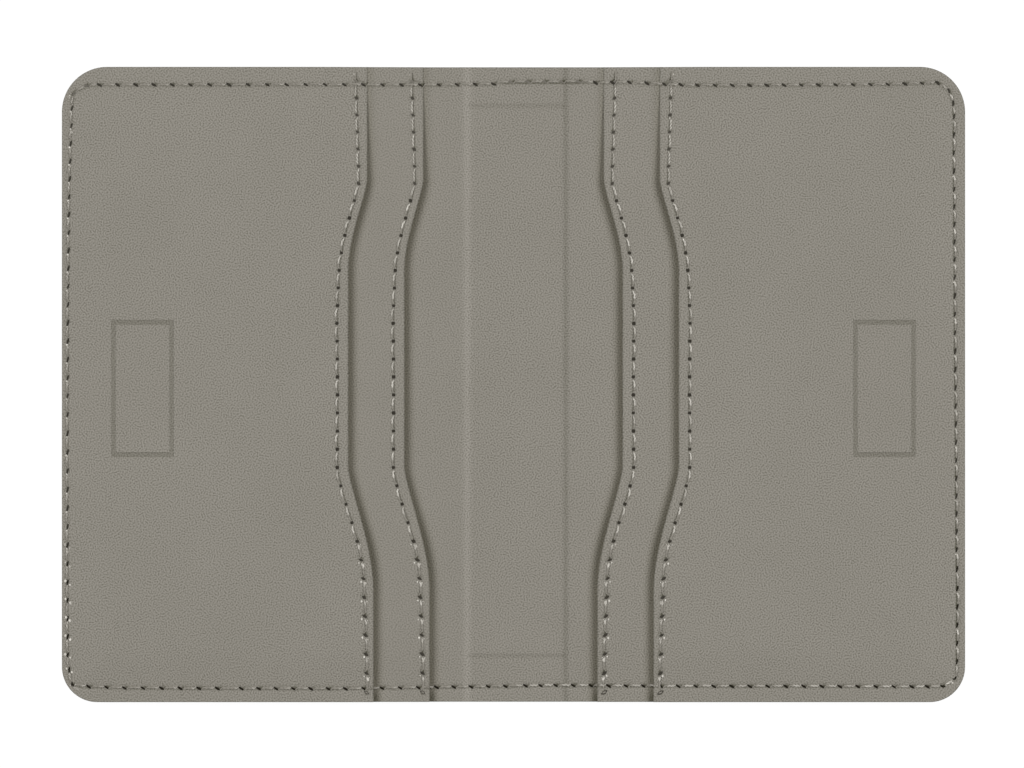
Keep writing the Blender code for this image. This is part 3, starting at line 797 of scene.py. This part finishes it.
def mouth_seam_marks(beside, y):
    """How far a mouth's seam pulls down the leather beside it, and how it shades the leather.

    A painted shadow line runs along each stitch, and painted shade darkens the leather before each hole and
    round it. Lower down a spot of painted shade lies at each hole, where the thread's end sinks. The last
    hole has a dark ring, and the seam's tail turns aside near the top.
    """
    phase = mouth_holes(y) % 1
    wave = hole_wave(phase)
    last = smooth(-y, *MOUTH_SEAM_LAST)
    dip = MOUTH_SEAM_DIP * hump(beside, MOUTH_SEAM_DIP_REACH) * (1 + MOUTH_SEAM_DIP_WAVE * wave) * (1 - last)
    low, high = smooth(-y, *MOUTH_LOW_THIRD), smooth(y, *MOUTH_TOP_PART)
    slit = 0.40 * hump(beside, *MOUTH_SLIT_LINE) * smooth(phase, 0.16, 0.3)
    before_hole = (0.22 + 0.12 * low) * hump(beside, (0.26 + 0.16 * low) * MM) * smooth(phase, 0.60, 0.92)
    around = (0.15 + 0.15 * high) * hump(beside, (0.34 + 0.1 * high) * MM) * np.maximum(wave, 0) ** 2
    past_hole = (phase + 0.4) % 1 - 0.4
    # Painted shade just past each hole in the lower third, where the thread's end sinks.
    stitch_end_shade = low * (1 - last) * 0.26 * hump(beside, *STITCH_END_SHADE_LINE) * hump(past_hole, 0.11, 0.07)
    ring = 0.45 * hump(np.hypot(beside, y - LAST_HOLE_HEIGHT), *LAST_HOLE_RING)
    ends = (1 - last) * (1 - smooth(y, *SEAM_TOP_FADE))
    tail = 0.32 * hump(y - SEAM_TAIL_TOP - SEAM_TAIL_SLOPE * beside, SEAM_TAIL_REACH)
    tail = tail * smooth(beside, *SEAM_TAIL_START) * (1 - smooth(beside, *SEAM_TAIL_END))
    return dip, (slit + before_hole) * ends + around + stitch_end_shade + tail + ring


def card_pocket(name, side, layer):
    """A pocket's leather: hemmed round its mouth, thin behind the hem, and filled out at the sewn edges."""
    spacing, *_, below_level, below_squeeze = layer
    framed = layer is FRONT
    first = mouth_out(0, spacing)
    columns = [(first, 0.45 * MM, 0.05 * MM), (first + 1.4 * MM, 0.8 * MM, FINE_STEP)]
    rows = [*OUTLINE_ROWS, (LAST_HOLE_HEIGHT, 0.45 * MM, FINE_STEP)]
    if framed:
        columns = stations(first, HALF_WIDTH, *columns, *OUTLINE_COLUMNS, *frame_marks(0), step=FRONT_STEP)
        rows += frame_marks(1)
    else:
        columns.append((first + FRONT_MOUTH_SPACING - 1.0 * MM, 1.8 * MM, 0.2 * MM))
        columns = partly_hidden(first, first + FRONT_MOUTH_SPACING, *columns)
    rows = stations(-TOP, TOP, *rows)
    shift = mouth_out(rows, spacing)[:, None] - first
    out, y = plan(columns, rows, shift)
    inward = edge_distance(out, y)
    behind = out - mouth_out(y, spacing)
    dip, seam_shade = seam_dip(out, y, side)
    mouth_dip, mouth_shade = mouth_seam_marks(behind - mouth_seam_inset(y), y)
    framing = magnet_frame(out, y) if framed else 0
    face = pocket_face(layer, out, y)
    open_share = 1 - pressed_share(y)
    lip = rounding(behind, MOUTH_ROUND * (0.05 + 0.95 * open_share))
    upper = face - dip - mouth_dip - FRAME_DEPTH * framing - rounding(inward, RIM) - lip

    floor = layer_height(below_level, below_squeeze, out, y)
    open_slot = smooth(inward, *CLOSED_EDGE) * open_share
    hem = floor + LAYER_GAP + (SLOT_GAP - LAYER_GAP) * open_slot + lip
    thin = smooth(behind, HEM_WIDTH, HEM_WIDTH + HEM_FADE) * smooth(inward, *FILLED_EDGE)
    lower = hem + (face - FACE_THICKNESS - hem) * thin
    upper = np.maximum(upper, lower + THINNEST)

    shade = seam_shade + mouth_shade + FRAME_SHADE * framing
    shade = shade + LIP_SHADE * (1 + pressed_share(y)) * hump(behind, LIP_SHADE_REACH)
    foot_shade, grime = (0, 0) if framed else foot_of_mouth(out, y, FRONT_MOUTH_SPACING)
    calm = 0 if framed else REAR_CALM[side]
    return inside_sheet(name, side, out, y, upper, lower, shade + foot_shade, grime, calm)


for side, half in HALVES:
    for place, layer in POCKETS:
        piece = card_pocket(place + "_pocket_" + half, side, layer)
        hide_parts(half + "_" + place + "_pocket")
        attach(piece, half + "_half")

# Pocket backings
# A thin plain-woven cloth glued behind each pocket face, inside the hem and the edge seam, which lets cards
# slide. The front ones are cut out round the magnet.

BACKING_COLOUR = (0.085, 0.080, 0.070, 1)
BACKING_HIGHLIGHT = (0.135, 0.128, 0.112, 1)
YARNS_PER_METRE = 2600
WEAVE_DEPTH = 0.05 * MM
BACKING_THICKNESS = 0.32 * MM
BACKING_SLOT = 0.10 * MM
BACKING_INSET = 4.7 * MM
PAST_HEM = 1.8 * MM
WINDOW_GAP = 0.15 * MM


def backing_cloth():
    """Plain weave: the product of two sines lifts a yarn at each crossing, one way and then the other."""
    material, start, shader = new_material("backing_cloth", roughness=0.85, specular=0.25)
    yarns = start.node("ShaderNodeTexCoord", {}, output="Object").scaled(YARNS_PER_METRE * math.pi)
    across, along = (start.node("ShaderNodeSeparateXYZ", {0: yarns}, output=axis) for axis in "XY")
    weave = start.math("SINE", across, 0) * start.math("SINE", along, 0) * 0.5 + 0.5
    feed(shader, "Base Color", weave.mixed(BACKING_COLOUR, BACKING_HIGHLIGHT))
    roughen(shader, weave, WEAVE_DEPTH)
    return material


BACKING = backing_cloth()


def backing(name, side, layer):
    """A flat cloth behind the hem and inside the edge seam, with a square window where a magnet lies."""
    spacing, *_, below_level, below_squeeze = layer
    windowed = layer is FRONT
    first = mouth_out(0, spacing) + HEM_WIDTH + PAST_HEM
    rows = stations(-TOP + BACKING_INSET, TOP - BACKING_INSET)
    columns = stations(first, HALF_WIDTH - BACKING_INSET)
    if windowed:
        low, high = MAGNET_LOW - WINDOW_GAP, MAGNET_HIGH + WINDOW_GAP
        columns = np.sort(np.concatenate([columns, [low[0], high[0]]]))
        rows = np.sort(np.concatenate([rows, [low[1], high[1]]]))
    out, y = np.meshgrid(columns, rows)
    shift = mouth_out(y, spacing) - mouth_out(0, spacing)
    out = out + shift * np.clip(1 - (out - first) / CORNER_FADE, 0, 1)
    lower = layer_height(below_level, below_squeeze, out, y) + BACKING_SLOT
    kept = None
    if windowed:
        middle_out = (out[:-1, :-1] + out[1:, 1:]) / 2
        middle_y = (y[:-1, :-1] + y[1:, 1:]) / 2
        kept = (middle_out < low[0]) | (middle_out > high[0]) | (middle_y < low[1]) | (middle_y > high[1])
    return closed_sheet(name, side, out, y, lower + BACKING_THICKNESS, lower, BACKING, {}, kept)


for side, half in HALVES:
    for place, layer in POCKETS:
        piece = backing(place + "_backing_cloth_" + half, side, layer)
        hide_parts(half + "_" + place + "_backing")
        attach(piece, half + "_half")

# Closing magnets
# A thin plated bar in each front pocket, in the window of its backing. The two meet when the wallet is shut.

MAGNET_COLOUR = (0.52, 0.52, 0.53, 1)
MAGNET_DULL_COLOUR = (0.40, 0.40, 0.41, 1)
MAGNET_ROLLING = (1.0, 0.08, 1.0)
MAGNET_MARK_SCALE = 4200


def plated_magnet():
    """Satin plating: noise drawn out along the bar for the rolling marks."""
    material, start, shader = new_material("plated_magnet", roughness=0.32, metallic=1.0)
    drawn = start.node("ShaderNodeTexCoord", {}, output="Object").times(MAGNET_ROLLING)
    marks = drawn.noise(MAGNET_MARK_SCALE, 3.0)
    feed(shader, "Base Color", marks.mixed(MAGNET_COLOUR, MAGNET_DULL_COLOUR))
    feed(shader, "Roughness", 0.24 + marks * 0.2)
    return material


PLATED_MAGNET = plated_magnet()
for side, half in HALVES:
    dress(half + "_magnet", PLATED_MAGNET)

# Mouth seams
# Two-ply polyester thread through each hem, a lockstitch about 2.7 mm long. Each stitch rises between two
# holes and goes down into them, painted dark there as their shade. The seam runs on over the edge seam to the
# ends of the mouth.

THREAD_COLOUR = (0.2748, 0.2565, 0.2209, 1)
# Colour of the painted highlight where a ply of the thread turns up to the lamps.
THREAD_HIGHLIGHT_COLOUR = (0.82, 0.785, 0.715, 1)
# Painted shade colour of the thread where it goes down into a needle hole.
HOLE_SHADE_COLOUR = (0.012, 0.0095, 0.0045, 1)
THREAD_RADIUS = 0.16 * MM
PLY_TWIST = 0.58 * MM
PLY_DEPTH = 0.25
THREAD_FLECK_SCALE = 2600
THREAD_FIBRE_SCALE = 14000
THREAD_FIBRE_DEPTH = 0.02 * MM
THREAD_SIDES = 12
HOLE_FLATNESS = 0.115 * MM
HOLE_SOFTNESS = 0.05 * MM
STITCH_RISE = 0.05 * MM
# Lengths along a stitch, past one hole or before the next: where the thread fills out, rises, sinks,
# leans out and leans back, where the hole's skew ends, where the streak begins and ends, and how long
# the bright lip is.
FILL_OUT = 0.45 * MM
RISE = 0.4 * MM
SINK = 1.2 * MM
LEAN_OUT = (0.1 * MM, 0.75 * MM)
LEAN_BACK = 0.4 * MM
SKEW_FADE = 0.3 * MM
STREAK_START_FADE = 0.07 * MM
STREAK_END_FADE = (0.2 * MM, 0.05 * MM)
LIP_LENGTH = 0.2 * MM
KNOT_SIDES = 8
KNOT_RINGS = 4
KNOT_HEIGHT = 0.11 * MM
KNOT_LIFT = 0.03 * MM
MOUTH_HOLE = (0.25 * MM, 0.295 * MM)
MOUTH_SEAM_TOP = 46.8 * MM
MOUTH_SEAM_BOTTOM = -46.45 * MM
# How much the holes' size, the thread's way and the streaks' shine vary from stitch to stitch, and the loops.
HOLE_SIZES = (0.88, 1.14)
THREAD_STRAY = 0.025 * MM
STREAK_LUCK = (0.55, 1.2)
KNOT_STRAY = (0.045 * MM, 0.035 * MM)
KNOT_SIZES = (0.8, 1.2)
KNOT_LUCK = (0.7, 1.2)
KNOT_LEAST_SHINE = 0.05
STITCH_SEED = 11
chance = np.random.default_rng(STITCH_SEED)


def sewing_thread():
    """Twisted thread: a painted highlight where a ply turns up to the light, flecked with fibre, and painted
    shade in its holes.
    """
    material, start, shader = new_material("sewing_thread", roughness=0.6, specular=0.1)
    flat = mesh_value(start, "flat", output="Vector")
    sunk, crown = (mesh_value(start, name) for name in ("sunk", "crown"))
    fleck = flat.noise(THREAD_FLECK_SCALE, 2.0)
    fibre = flat.noise(THREAD_FIBRE_SCALE, 2.0)
    # Painted highlight where the thread's plies, streaks, lips and loops face the lamps.
    pale = crown * (0.7 + fleck.ramp(0.35, 0.65) * 0.3)
    colour = sunk.mixed(pale.mixed(THREAD_COLOUR, THREAD_HIGHLIGHT_COLOUR), HOLE_SHADE_COLOUR)
    feed(shader, "Base Color", colour.scaled(0.85 + fibre * 0.3))
    roughen(shader, fibre, THREAD_FIBRE_DEPTH)
    return material


THREAD = sewing_thread()


def outward_of(ahead):
    """Unit vectors square to the directions along a seam, on the side of the wallet's outline."""
    return np.stack([-ahead[:, 1], ahead[:, 0]], axis=1)


def knots_at(places, heights, ahead, kinds, up):
    """Small loops of ply that stand up beside the holes, each a squashed ball on the leather.

    places, heights and ahead are those of the holes. Each kind gives the loops' place along the seam and
    outward from the hole, their half length and half width, and the shine of their painted highlight at every
    hole, which is painted brighter towards a loop's top. Their size, place and shine vary a little, and a
    loop of no shine is left out.
    """
    latitude = np.linspace(-math.pi / 2, math.pi / 2, KNOT_RINGS + 2)[1:-1]
    longitude = np.linspace(0, 2 * math.pi, KNOT_SIDES, endpoint=False)
    level, turn = np.meshgrid(latitude, longitude, indexing="ij")
    ball = np.stack([np.cos(level) * np.cos(turn), np.cos(level) * np.sin(turn), np.sin(level)], axis=-1)
    ball = np.concatenate([ball.reshape(-1, 3), [[0, 0, -1], [0, 0, 1]]])
    ring = np.arange(level.size).reshape(level.shape)
    after = np.roll(ring, -1, axis=1)
    quads = np.stack([ring[:-1], after[:-1], after[1:], ring[1:]], axis=-1).reshape(-1, 4)
    foot, head = level.size, level.size + 1
    caps = [np.stack([after[0], ring[0], np.full(KNOT_SIDES, foot)], axis=1)]
    caps.append(np.stack([ring[-1], after[-1], np.full(KNOT_SIDES, head)], axis=1))
    outward = outward_of(ahead)
    points, knot_highlights = [], []
    for along, across, half_length, half_width, shine in kinds:
        shown = shine > KNOT_LEAST_SHINE
        count = shown.sum()
        along = along + chance.normal(0, KNOT_STRAY[0], count)
        across = across + chance.normal(0, KNOT_STRAY[1], count)
        size = chance.uniform(*KNOT_SIZES, (count, 1))
        bright = np.minimum(shine[shown] * chance.uniform(*KNOT_LUCK, count), 1)
        middle = places[shown] + ahead[shown] * along[:, None] + outward[shown] * across[:, None]
        long_axis, wide_axis = ahead[shown] * half_length * size, outward[shown] * half_width * size
        plan_view = middle[:, None] + long_axis[:, None] * ball[:, :1] + wide_axis[:, None] * ball[:, 1:2]
        above = heights[shown] + up * (0.25 * np.abs(across) + KNOT_LIFT)
        height = above[:, None] + up * KNOT_HEIGHT * ball[:, 2]
        points.append(np.concatenate([plan_view, height[..., None]], axis=-1))
        # Each loop's painted highlight, brighter towards its top.
        knot_highlights.append(bright[:, None] * (0.55 + 0.45 * ball[:, 2]))
    points, knot_highlights = np.concatenate(points), np.concatenate(knot_highlights)
    start = (np.arange(len(points)) * len(ball))[:, None, None]
    faces = (start + quads).reshape(-1, 4)[:, ::up].tolist()
    for cap in caps:
        faces += (start + cap).reshape(-1, 3)[:, ::up].tolist()
    return points.reshape(-1, 3), knot_highlights.ravel(), faces


def thread_along(name, side, line, surface, holes, from_left, hole, look, knots, up):
    """A two-ply thread sewn along a line on the leather, whose surface and count of holes passed are given.

    The section is an ellipse with two lobes that turn along the thread. Round each hole it is a low ellipse
    on the leather, a little askew, painted dark as the hole's shade. From there the thread leans out past its
    holes, carries a painted highlight along a streak, and sinks into the next hole. from_left is true where a
    stitch's bright end is its far end.

    hole is the half length, half width, painted darkness and skew of the holes, and how far each is a ring.
    look is the shine of the streak's painted highlight, its start and end from the hole, how far its plies
    show as knots, the shine of the painted highlight on the lip round the hole's end, and how far the thread
    leans out.
    knots are the kinds of loops beside the holes, and up is 1 on the inside and -1 on the outer cover.
    """
    half_length, half_width, darkness, askew, ringed = hole
    shine, streak_start, streak_end, plied, lip, lean = look
    ahead = directions(line)
    outward = outward_of(ahead)
    pitch = np.linalg.norm(np.gradient(line, axis=0), axis=1) / np.abs(np.gradient(holes))
    phase = holes % 1
    past_hole = np.where(phase < 0.5, phase, phase - 1) * pitch
    from_hole = np.abs(past_hole)
    gone = np.where(from_left, 1 - phase, phase) * pitch
    to_come = pitch - gone

    stitch = np.floor(holes).astype(int) - int(np.floor(holes.min()))
    nearest = np.round(holes).astype(int) - int(np.round(holes.min()))
    size = chance.uniform(*HOLE_SIZES, nearest.max() + 1)[nearest]
    stray = chance.normal(0, THREAD_STRAY, stitch.max() + 1)[stitch]
    luck = chance.uniform(*STREAK_LUCK, stitch.max() + 1)[stitch]

    half_length, half_width = half_length * size, half_width * size
    sunk = 1 - smooth(from_hole, half_length - HOLE_SOFTNESS, half_length + HOLE_SOFTNESS)
    oval = np.sqrt(1 - np.clip(from_hole / (half_length + HOLE_SOFTNESS), 0, 0.96) ** 2)
    body = THREAD_RADIUS * (0.75 + 0.25 * smooth(from_hole, half_length, half_length + FILL_OUT))
    width = body + (half_width * oval - body) * sunk
    height = 0.7 * body + (HOLE_FLATNESS - 0.7 * body) * sunk
    rising = smooth(gone, half_length, half_length + RISE) * smooth(to_come, half_length, SINK)
    lift = (1 - sunk) * (0.05 * THREAD_RADIUS + STITCH_RISE * rising)
    aside = smooth(gone, half_length + LEAN_OUT[0], half_length + LEAN_OUT[1])
    aside = aside * smooth(to_come, half_length, half_length + LEAN_BACK)
    skew = askew * np.clip(past_hole, -half_length, half_length)
    skew = skew * (1 - smooth(from_hole, half_length, half_length + SKEW_FADE))
    line = line + outward * (aside * (lean * (up > 0) + stray) + skew)[:, None]

    along = np.cumsum(np.linalg.norm(np.gradient(line, axis=0), axis=1))
    angle = np.linspace(0, 2 * math.pi, THREAD_SIDES, endpoint=False)
    ply = np.cos(2 * (angle - math.pi * along[:, None] / PLY_TWIST))
    lobes = 1 + PLY_DEPTH * (1 - sunk)[:, None] * ply
    across = width[:, None] * np.cos(angle) * lobes
    points = np.empty((len(line), THREAD_SIDES, 3))
    points[..., :2] = line[:, None, :] + outward[:, None, :] * across[..., None]
    points[..., 2] = surface[:, None] + up * (lift[:, None] + height[:, None] * np.sin(angle) * lobes)
    ring = np.arange(len(line) * THREAD_SIDES).reshape(len(line), THREAD_SIDES)
    after = np.roll(ring, -1, axis=1)
    quads = np.stack([ring[:-1], ring[1:], after[1:], after[:-1]], axis=-1).reshape(-1, 4)
    faces = quads[:, ::up].tolist() + [ring[0][::up].tolist(), ring[-1][::-up].tolist()]

    rim = smooth(np.abs(np.cos(angle)), 0.8, 1.0)
    # Painted highlight along a streak of each stitch, and on the lip at a hole's end.
    streak_highlight = smooth(gone, streak_start - STREAK_START_FADE, streak_start + STREAK_START_FADE)
    ended = smooth(gone, streak_end - STREAK_END_FADE[0], streak_end + STREAK_END_FADE[1])
    streak_highlight = streak_highlight * (1 - ended) * luck
    lip_highlight = smooth(gone, 0.1 * half_length, 0.8 * half_length) * (gone < half_length + LIP_LENGTH)
    lip_highlight = lip_highlight * sunk * lip * luck
    centre = np.hypot((from_hole / half_length)[:, None], np.cos(angle))
    open_ring = 1 - ringed[:, None] * (1 - smooth(centre, 0.45, 0.65))
    # Painted shade of each hole, open at the middle of a ringed hole and lighter at the lip's painted
    # highlight.
    dark = (sunk * darkness)[:, None] * open_ring * (1 - rim * np.maximum(0.2, np.minimum(lip_highlight, 1)[:, None]))
    knotted = 1 - plied[:, None] * (1 - smooth(ply, -0.3, 0.5))
    crown = np.clip(np.sin(angle), 0, 1) * knotted * (streak_highlight * shine)[:, None] + rim * lip_highlight[:, None]
    points, dark, crown = points.reshape(-1, 3), dark.ravel(), crown.ravel()
    if knots:
        numbers = np.arange(math.ceil(holes.min()), math.floor(holes.max()) + 1)
        at = np.interp(numbers, holes, np.arange(len(holes))).round().astype(int)
        kinds = [(*place, shines[at]) for *place, shines in knots]
        more, bright, more_faces = knots_at(line[at], surface[at], ahead[at], kinds, up)
        faces += [[corner + len(points) for corner in face] for face in more_faces]
        points = np.concatenate([points, more])
        dark, crown = np.concatenate([dark, 0 * bright]), np.concatenate([crown, bright])
    points[:, 0] *= side
    faces = [face[::side] for face in faces]
    return new_piece(name, points, faces, THREAD, {"sunk": dark, "crown": np.clip(crown, 0, 1)})


def mouth_seam(name, side, layer):
    """The seam behind one mouth, from top to bottom.

    Its middle shows one smooth streak of painted highlight a stitch, its top a row of plies, and its lower
    third loops with painted highlights at the lower end of every hole. It ends in a hole that its melted end
    rings.
    """
    y = np.arange(MOUTH_SEAM_TOP, MOUTH_SEAM_BOTTOM, -LINE_STEP)
    out = mouth_out(y, layer[0]) + mouth_seam_inset(y)
    holes = mouth_holes(y)
    low, high = smooth(-y, *MOUTH_LOW_THIRD), smooth(y, *MOUTH_TOP_PART)
    first, last = smooth(y, *MOUTH_SEAM_FIRST), smooth(-y, *MOUTH_SEAM_LAST)
    mouth_dip = MOUTH_SEAM_DIP * (1 + MOUTH_SEAM_DIP_WAVE * hole_wave(holes)) * (1 - last)
    half_length = MOUTH_HOLE[0] + (0.03 * low - 0.008 * high + 0.01 * last) * MM
    half_width = MOUTH_HOLE[1] + (0.035 * low - 0.01 * high - 0.02 * last) * MM
    # How dark each hole is painted as its shade.
    darkness = 0.92 - 0.05 * low - 0.12 * high - 0.45 * first
    hole = (half_length, half_width, darkness, -0.85 * low - 0.5 * high, last)
    streak = (0.50 - 0.10 * high) * MM, (1.65 - 0.40 * low + 0.55 * high) * MM
    lean = (0.18 - 0.30 * low - 0.05 * high) * MM
    look = (0.68 * (1 - first), *streak, 0.2 + 0.7 * high, 0.3 * low, lean)
    loops = low * (1 - last)
    knots = (
        (0.42 * MM, 0.40 * MM, 0.19 * MM, 0.16 * MM, loops),
        (0.84 * MM, -0.15 * MM, 0.27 * MM, 0.16 * MM, loops),
        (0.62 * MM, -0.34 * MM, 0.13 * MM, 0.11 * MM, 0.7 * loops),
        (-1.00 * MM, 0.22 * MM, 0.26 * MM, 0.17 * MM, first),
    )
    line = np.stack([out, y], axis=1)
    surface = pocket_face(layer, out, y) - mouth_dip - seam_dip(out, y, side)[0]
    return thread_along(name, side, line, surface, holes, False, hole, look, knots, 1)


for side, half in HALVES:
    for place, layer in POCKETS:
        piece = mouth_seam(place + "_mouth_seam_" + half, side, layer)
        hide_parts(half + "_" + place + "_mouth_thread")
        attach(piece, half + "_half")

# Edge seam
# The same thread once round the wallet: the needle thread on the inside, stepping up over the pocket mouths,
# and the bobbin thread in a shallow valley of the outer cover.

TOP_HOLE = np.array([0.36 * MM, 0.205 * MM])
SIDE_HOLE = np.array([0.42 * MM, 0.15 * MM])
STEP_SPAN = 13
AT_BOTTOM = (44 * MM, 44.6 * MM)
LOW_ON_SIDE = (20 * MM, 30 * MM)
CORNER_HOLES = (0.8, 22.5)
# How each half's streaks of painted highlight and plies change along the bottom and along the side.
BOTTOM_SHINE = {-1: 0.10, 1: 0.30}
SIDE_SHINE = {-1: 0.20, 1: 0.35}
SIDE_STREAK_START = {-1: 0.12, 1: 0.28}
SIDE_STREAK_END = {-1: 0.50, 1: 0.40}
BOTTOM_STREAK_END = {-1: 0.0, 1: 0.6}
SIDE_PLIES = {-1: 0.6, 1: -0.3}


def edge_surface(out, y):
    """Height of whatever the seam runs over on the inside, eased from lining to rear and front pocket."""
    level = layer_height(LINING_TOP, LINING_SQUEEZE, out, y)
    for layer in (REAR, FRONT):
        level = np.where(out > mouth_out(y, layer[0]), pocket_face(layer, out, y), level)
    padded = np.pad(level, STEP_SPAN // 2, mode="edge")
    return np.convolve(padded, np.full(STEP_SPAN, 1 / STEP_SPAN), mode="valid")


for side, half in HALVES:
    line, holes, ahead = EDGE_LINES[side]
    out, y = line.T
    by_hole = hole_wave(holes)
    on_side = smooth(np.abs(ahead[:, 1]), 0.3, 0.9)
    half_length, half_width = (TOP_HOLE + (SIDE_HOLE - TOP_HOLE) * on_side[:, None]).T
    faint = faint_share(out, y, side)
    to_right = side * ahead[:, 0] * (1 - on_side) > 0.1
    at_bottom = smooth(-y, *AT_BOTTOM)
    low = smooth(-y, *LOW_ON_SIDE) * on_side
    at_corner = (side < 0) * hump(holes, *CORNER_HOLES)
    # How dark each hole is painted as its shade, fainter over the spine's top and at one corner.
    darkness = (0.90 + 0.1 * np.maximum(at_bottom, low)) * (1 - 0.60 * faint - 0.65 * at_corner)
    skew = -0.55 * side * (1 - on_side) - 0.25 * side * on_side
    hole = (half_length, half_width, darkness, skew, 0 * y)
    # The shine of the painted highlight along each stitch's streak.
    shine = 0.30 + BOTTOM_SHINE[side] * at_bottom + SIDE_SHINE[side] * on_side - 0.12 * faint
    start = (0.36 + SIDE_STREAK_START[side] * on_side) * MM
    end = 1.05 + SIDE_STREAK_END[side] * on_side + BOTTOM_STREAK_END[side] * at_bottom + 0.3 * faint
    plied = 0.4 + SIDE_PLIES[side] * on_side
    lean = (0.13 - 0.20 * at_bottom * (1 - on_side)) * MM
    look = (shine, start, end * MM, plied, 0.1 * on_side, lean)
    if side < 0:
        beside = on_side * (1 - low)
        knots = (
            (0.56 * MM, 0.16 * MM, 0.17 * MM, 0.15 * MM, beside),
            (0.94 * MM, 0.02 * MM, 0.18 * MM, 0.14 * MM, beside),
            (-0.15 * MM, 0.36 * MM, 0.22 * MM, 0.19 * MM, low),
            (0.42 * MM, -0.32 * MM, 0.22 * MM, 0.18 * MM, low),
            (0.72 * MM, 0.10 * MM, 0.14 * MM, 0.13 * MM, low),
            (1.12 * MM, 0.10 * MM, 0.16 * MM, 0.13 * MM, 0.8 * low),
        )
    else:
        knots = ((0.72 * MM, -0.04 * MM, 0.12 * MM, 0.20 * MM, on_side),)

    inside = edge_surface(out, y) - SEAM_DIP * (1 + SEAM_DIP_WAVE * by_hole)
    inner = thread_along("edge_seam_" + half, side, line, inside, holes, to_right, hole, look, knots, 1)
    spine_nodes = with_left(side, "spine_top_thread", "spine_bottom_thread")
    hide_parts(half + "_edge_thread", *spine_nodes)

    under = OUTER_GROOVE_DEPTH * (1 - OUTER_GROOVE_WAVE + OUTER_GROOVE_WAVE * by_hole)
    outer = thread_along("outer_edge_seam_" + half, side, line, under, holes, to_right, hole, look, (), -1)
    spine_nodes = with_left(side, "spine_top_bobbin_thread", "spine_bottom_bobbin_thread")
    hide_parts(half + "_edge_bobbin_thread", *spine_nodes)
    for piece in (inner, outer):
        bend_at_fold(piece, side)

# Studio
# A white table seen from straight above through a long lens, lit by a soft lamp on either side.

OUTLINE_PIXELS = 903.3
IMAGE_WIDTH = 1024
CENTRE_PIXEL_RIGHT = 1.5
CENTRE_PIXEL_DOWN = 0.5
LENS = 400
SENSOR = 36
FARTHEST_VIEW = 20
PIXEL = 2 * HALF_WIDTH / OUTLINE_PIXELS
LAMP_REACH = 0.75
LAMP_HEIGHT = 0.85
LAMP_SIZE = 0.55
LAMP_UP = 0.12
LAMP_POWER = 8.3
SKY_STRENGTH = 0.11
TABLE_REACH = 6.0
TABLE_COLOUR = (0.9, 0.9, 0.9, 1)
TABLE_GLOW = 1.06
TABLE_GLOW_SHARE = 0.9
WHITE = (1, 1, 1, 1)

camera_data = bpy.data.cameras.new("camera")
camera_data.lens = LENS
camera_data.sensor_width = SENSOR
camera_data.clip_end = FARTHEST_VIEW
camera = add_object("camera", camera_data)
camera.location = (
    -CENTRE_PIXEL_RIGHT * PIXEL,
    CENTRE_PIXEL_DOWN * PIXEL,
    FRONT_LEVEL - FRONT_SQUEEZE + IMAGE_WIDTH * PIXEL * LENS / SENSOR,
)
bpy.context.scene.camera = camera

for side, half in HALVES:
    lamp_data = bpy.data.lights.new("lamp_" + half, "AREA")
    lamp_data.shape = "SQUARE"
    lamp_data.size = LAMP_SIZE
    lamp_data.energy = LAMP_POWER
    lamp = add_object("lamp_" + half, lamp_data)
    lamp.location = (side * LAMP_REACH, LAMP_UP, LAMP_HEIGHT)
    lamp.rotation_euler = (0, side * math.atan2(LAMP_REACH, LAMP_HEIGHT), 0)

world = bpy.data.worlds.new("studio")
world.use_nodes = True
bpy.context.scene.world = world
background = world.node_tree.nodes["Background"]
background.inputs["Color"].default_value = WHITE
seen = Link(world.node_tree).node("ShaderNodeLightPath", {}, output="Is Camera Ray")
feed(background, "Strength", seen * (1 - SKY_STRENGTH) + SKY_STRENGTH)

table_material, start, shader = new_material("white_table", roughness=0.8)
shader.inputs["Base Color"].default_value = TABLE_COLOUR
seen = start.node("ShaderNodeLightPath", {}, output="Is Camera Ray")
glow = start.node("ShaderNodeEmission", {"Color": WHITE, "Strength": TABLE_GLOW})
lit = Link(start.tree, shader.outputs["BSDF"])
mixed = start.node("ShaderNodeMixShader", {0: seen * TABLE_GLOW_SHARE, 1: lit, 2: glow})
feed(start.tree.nodes["Material Output"], "Surface", mixed)

table_mesh = bpy.data.meshes.new("table")
corners = [(across * TABLE_REACH, up * TABLE_REACH, 0) for across, up in ((-1, -1), (1, -1), (1, 1), (-1, 1))]
table_mesh.from_pydata(corners, [], [(0, 1, 2, 3)])
table_mesh.materials.append(table_material)
table = add_object("table", table_mesh)

bpy.context.scene.view_settings.view_transform = "Standard"
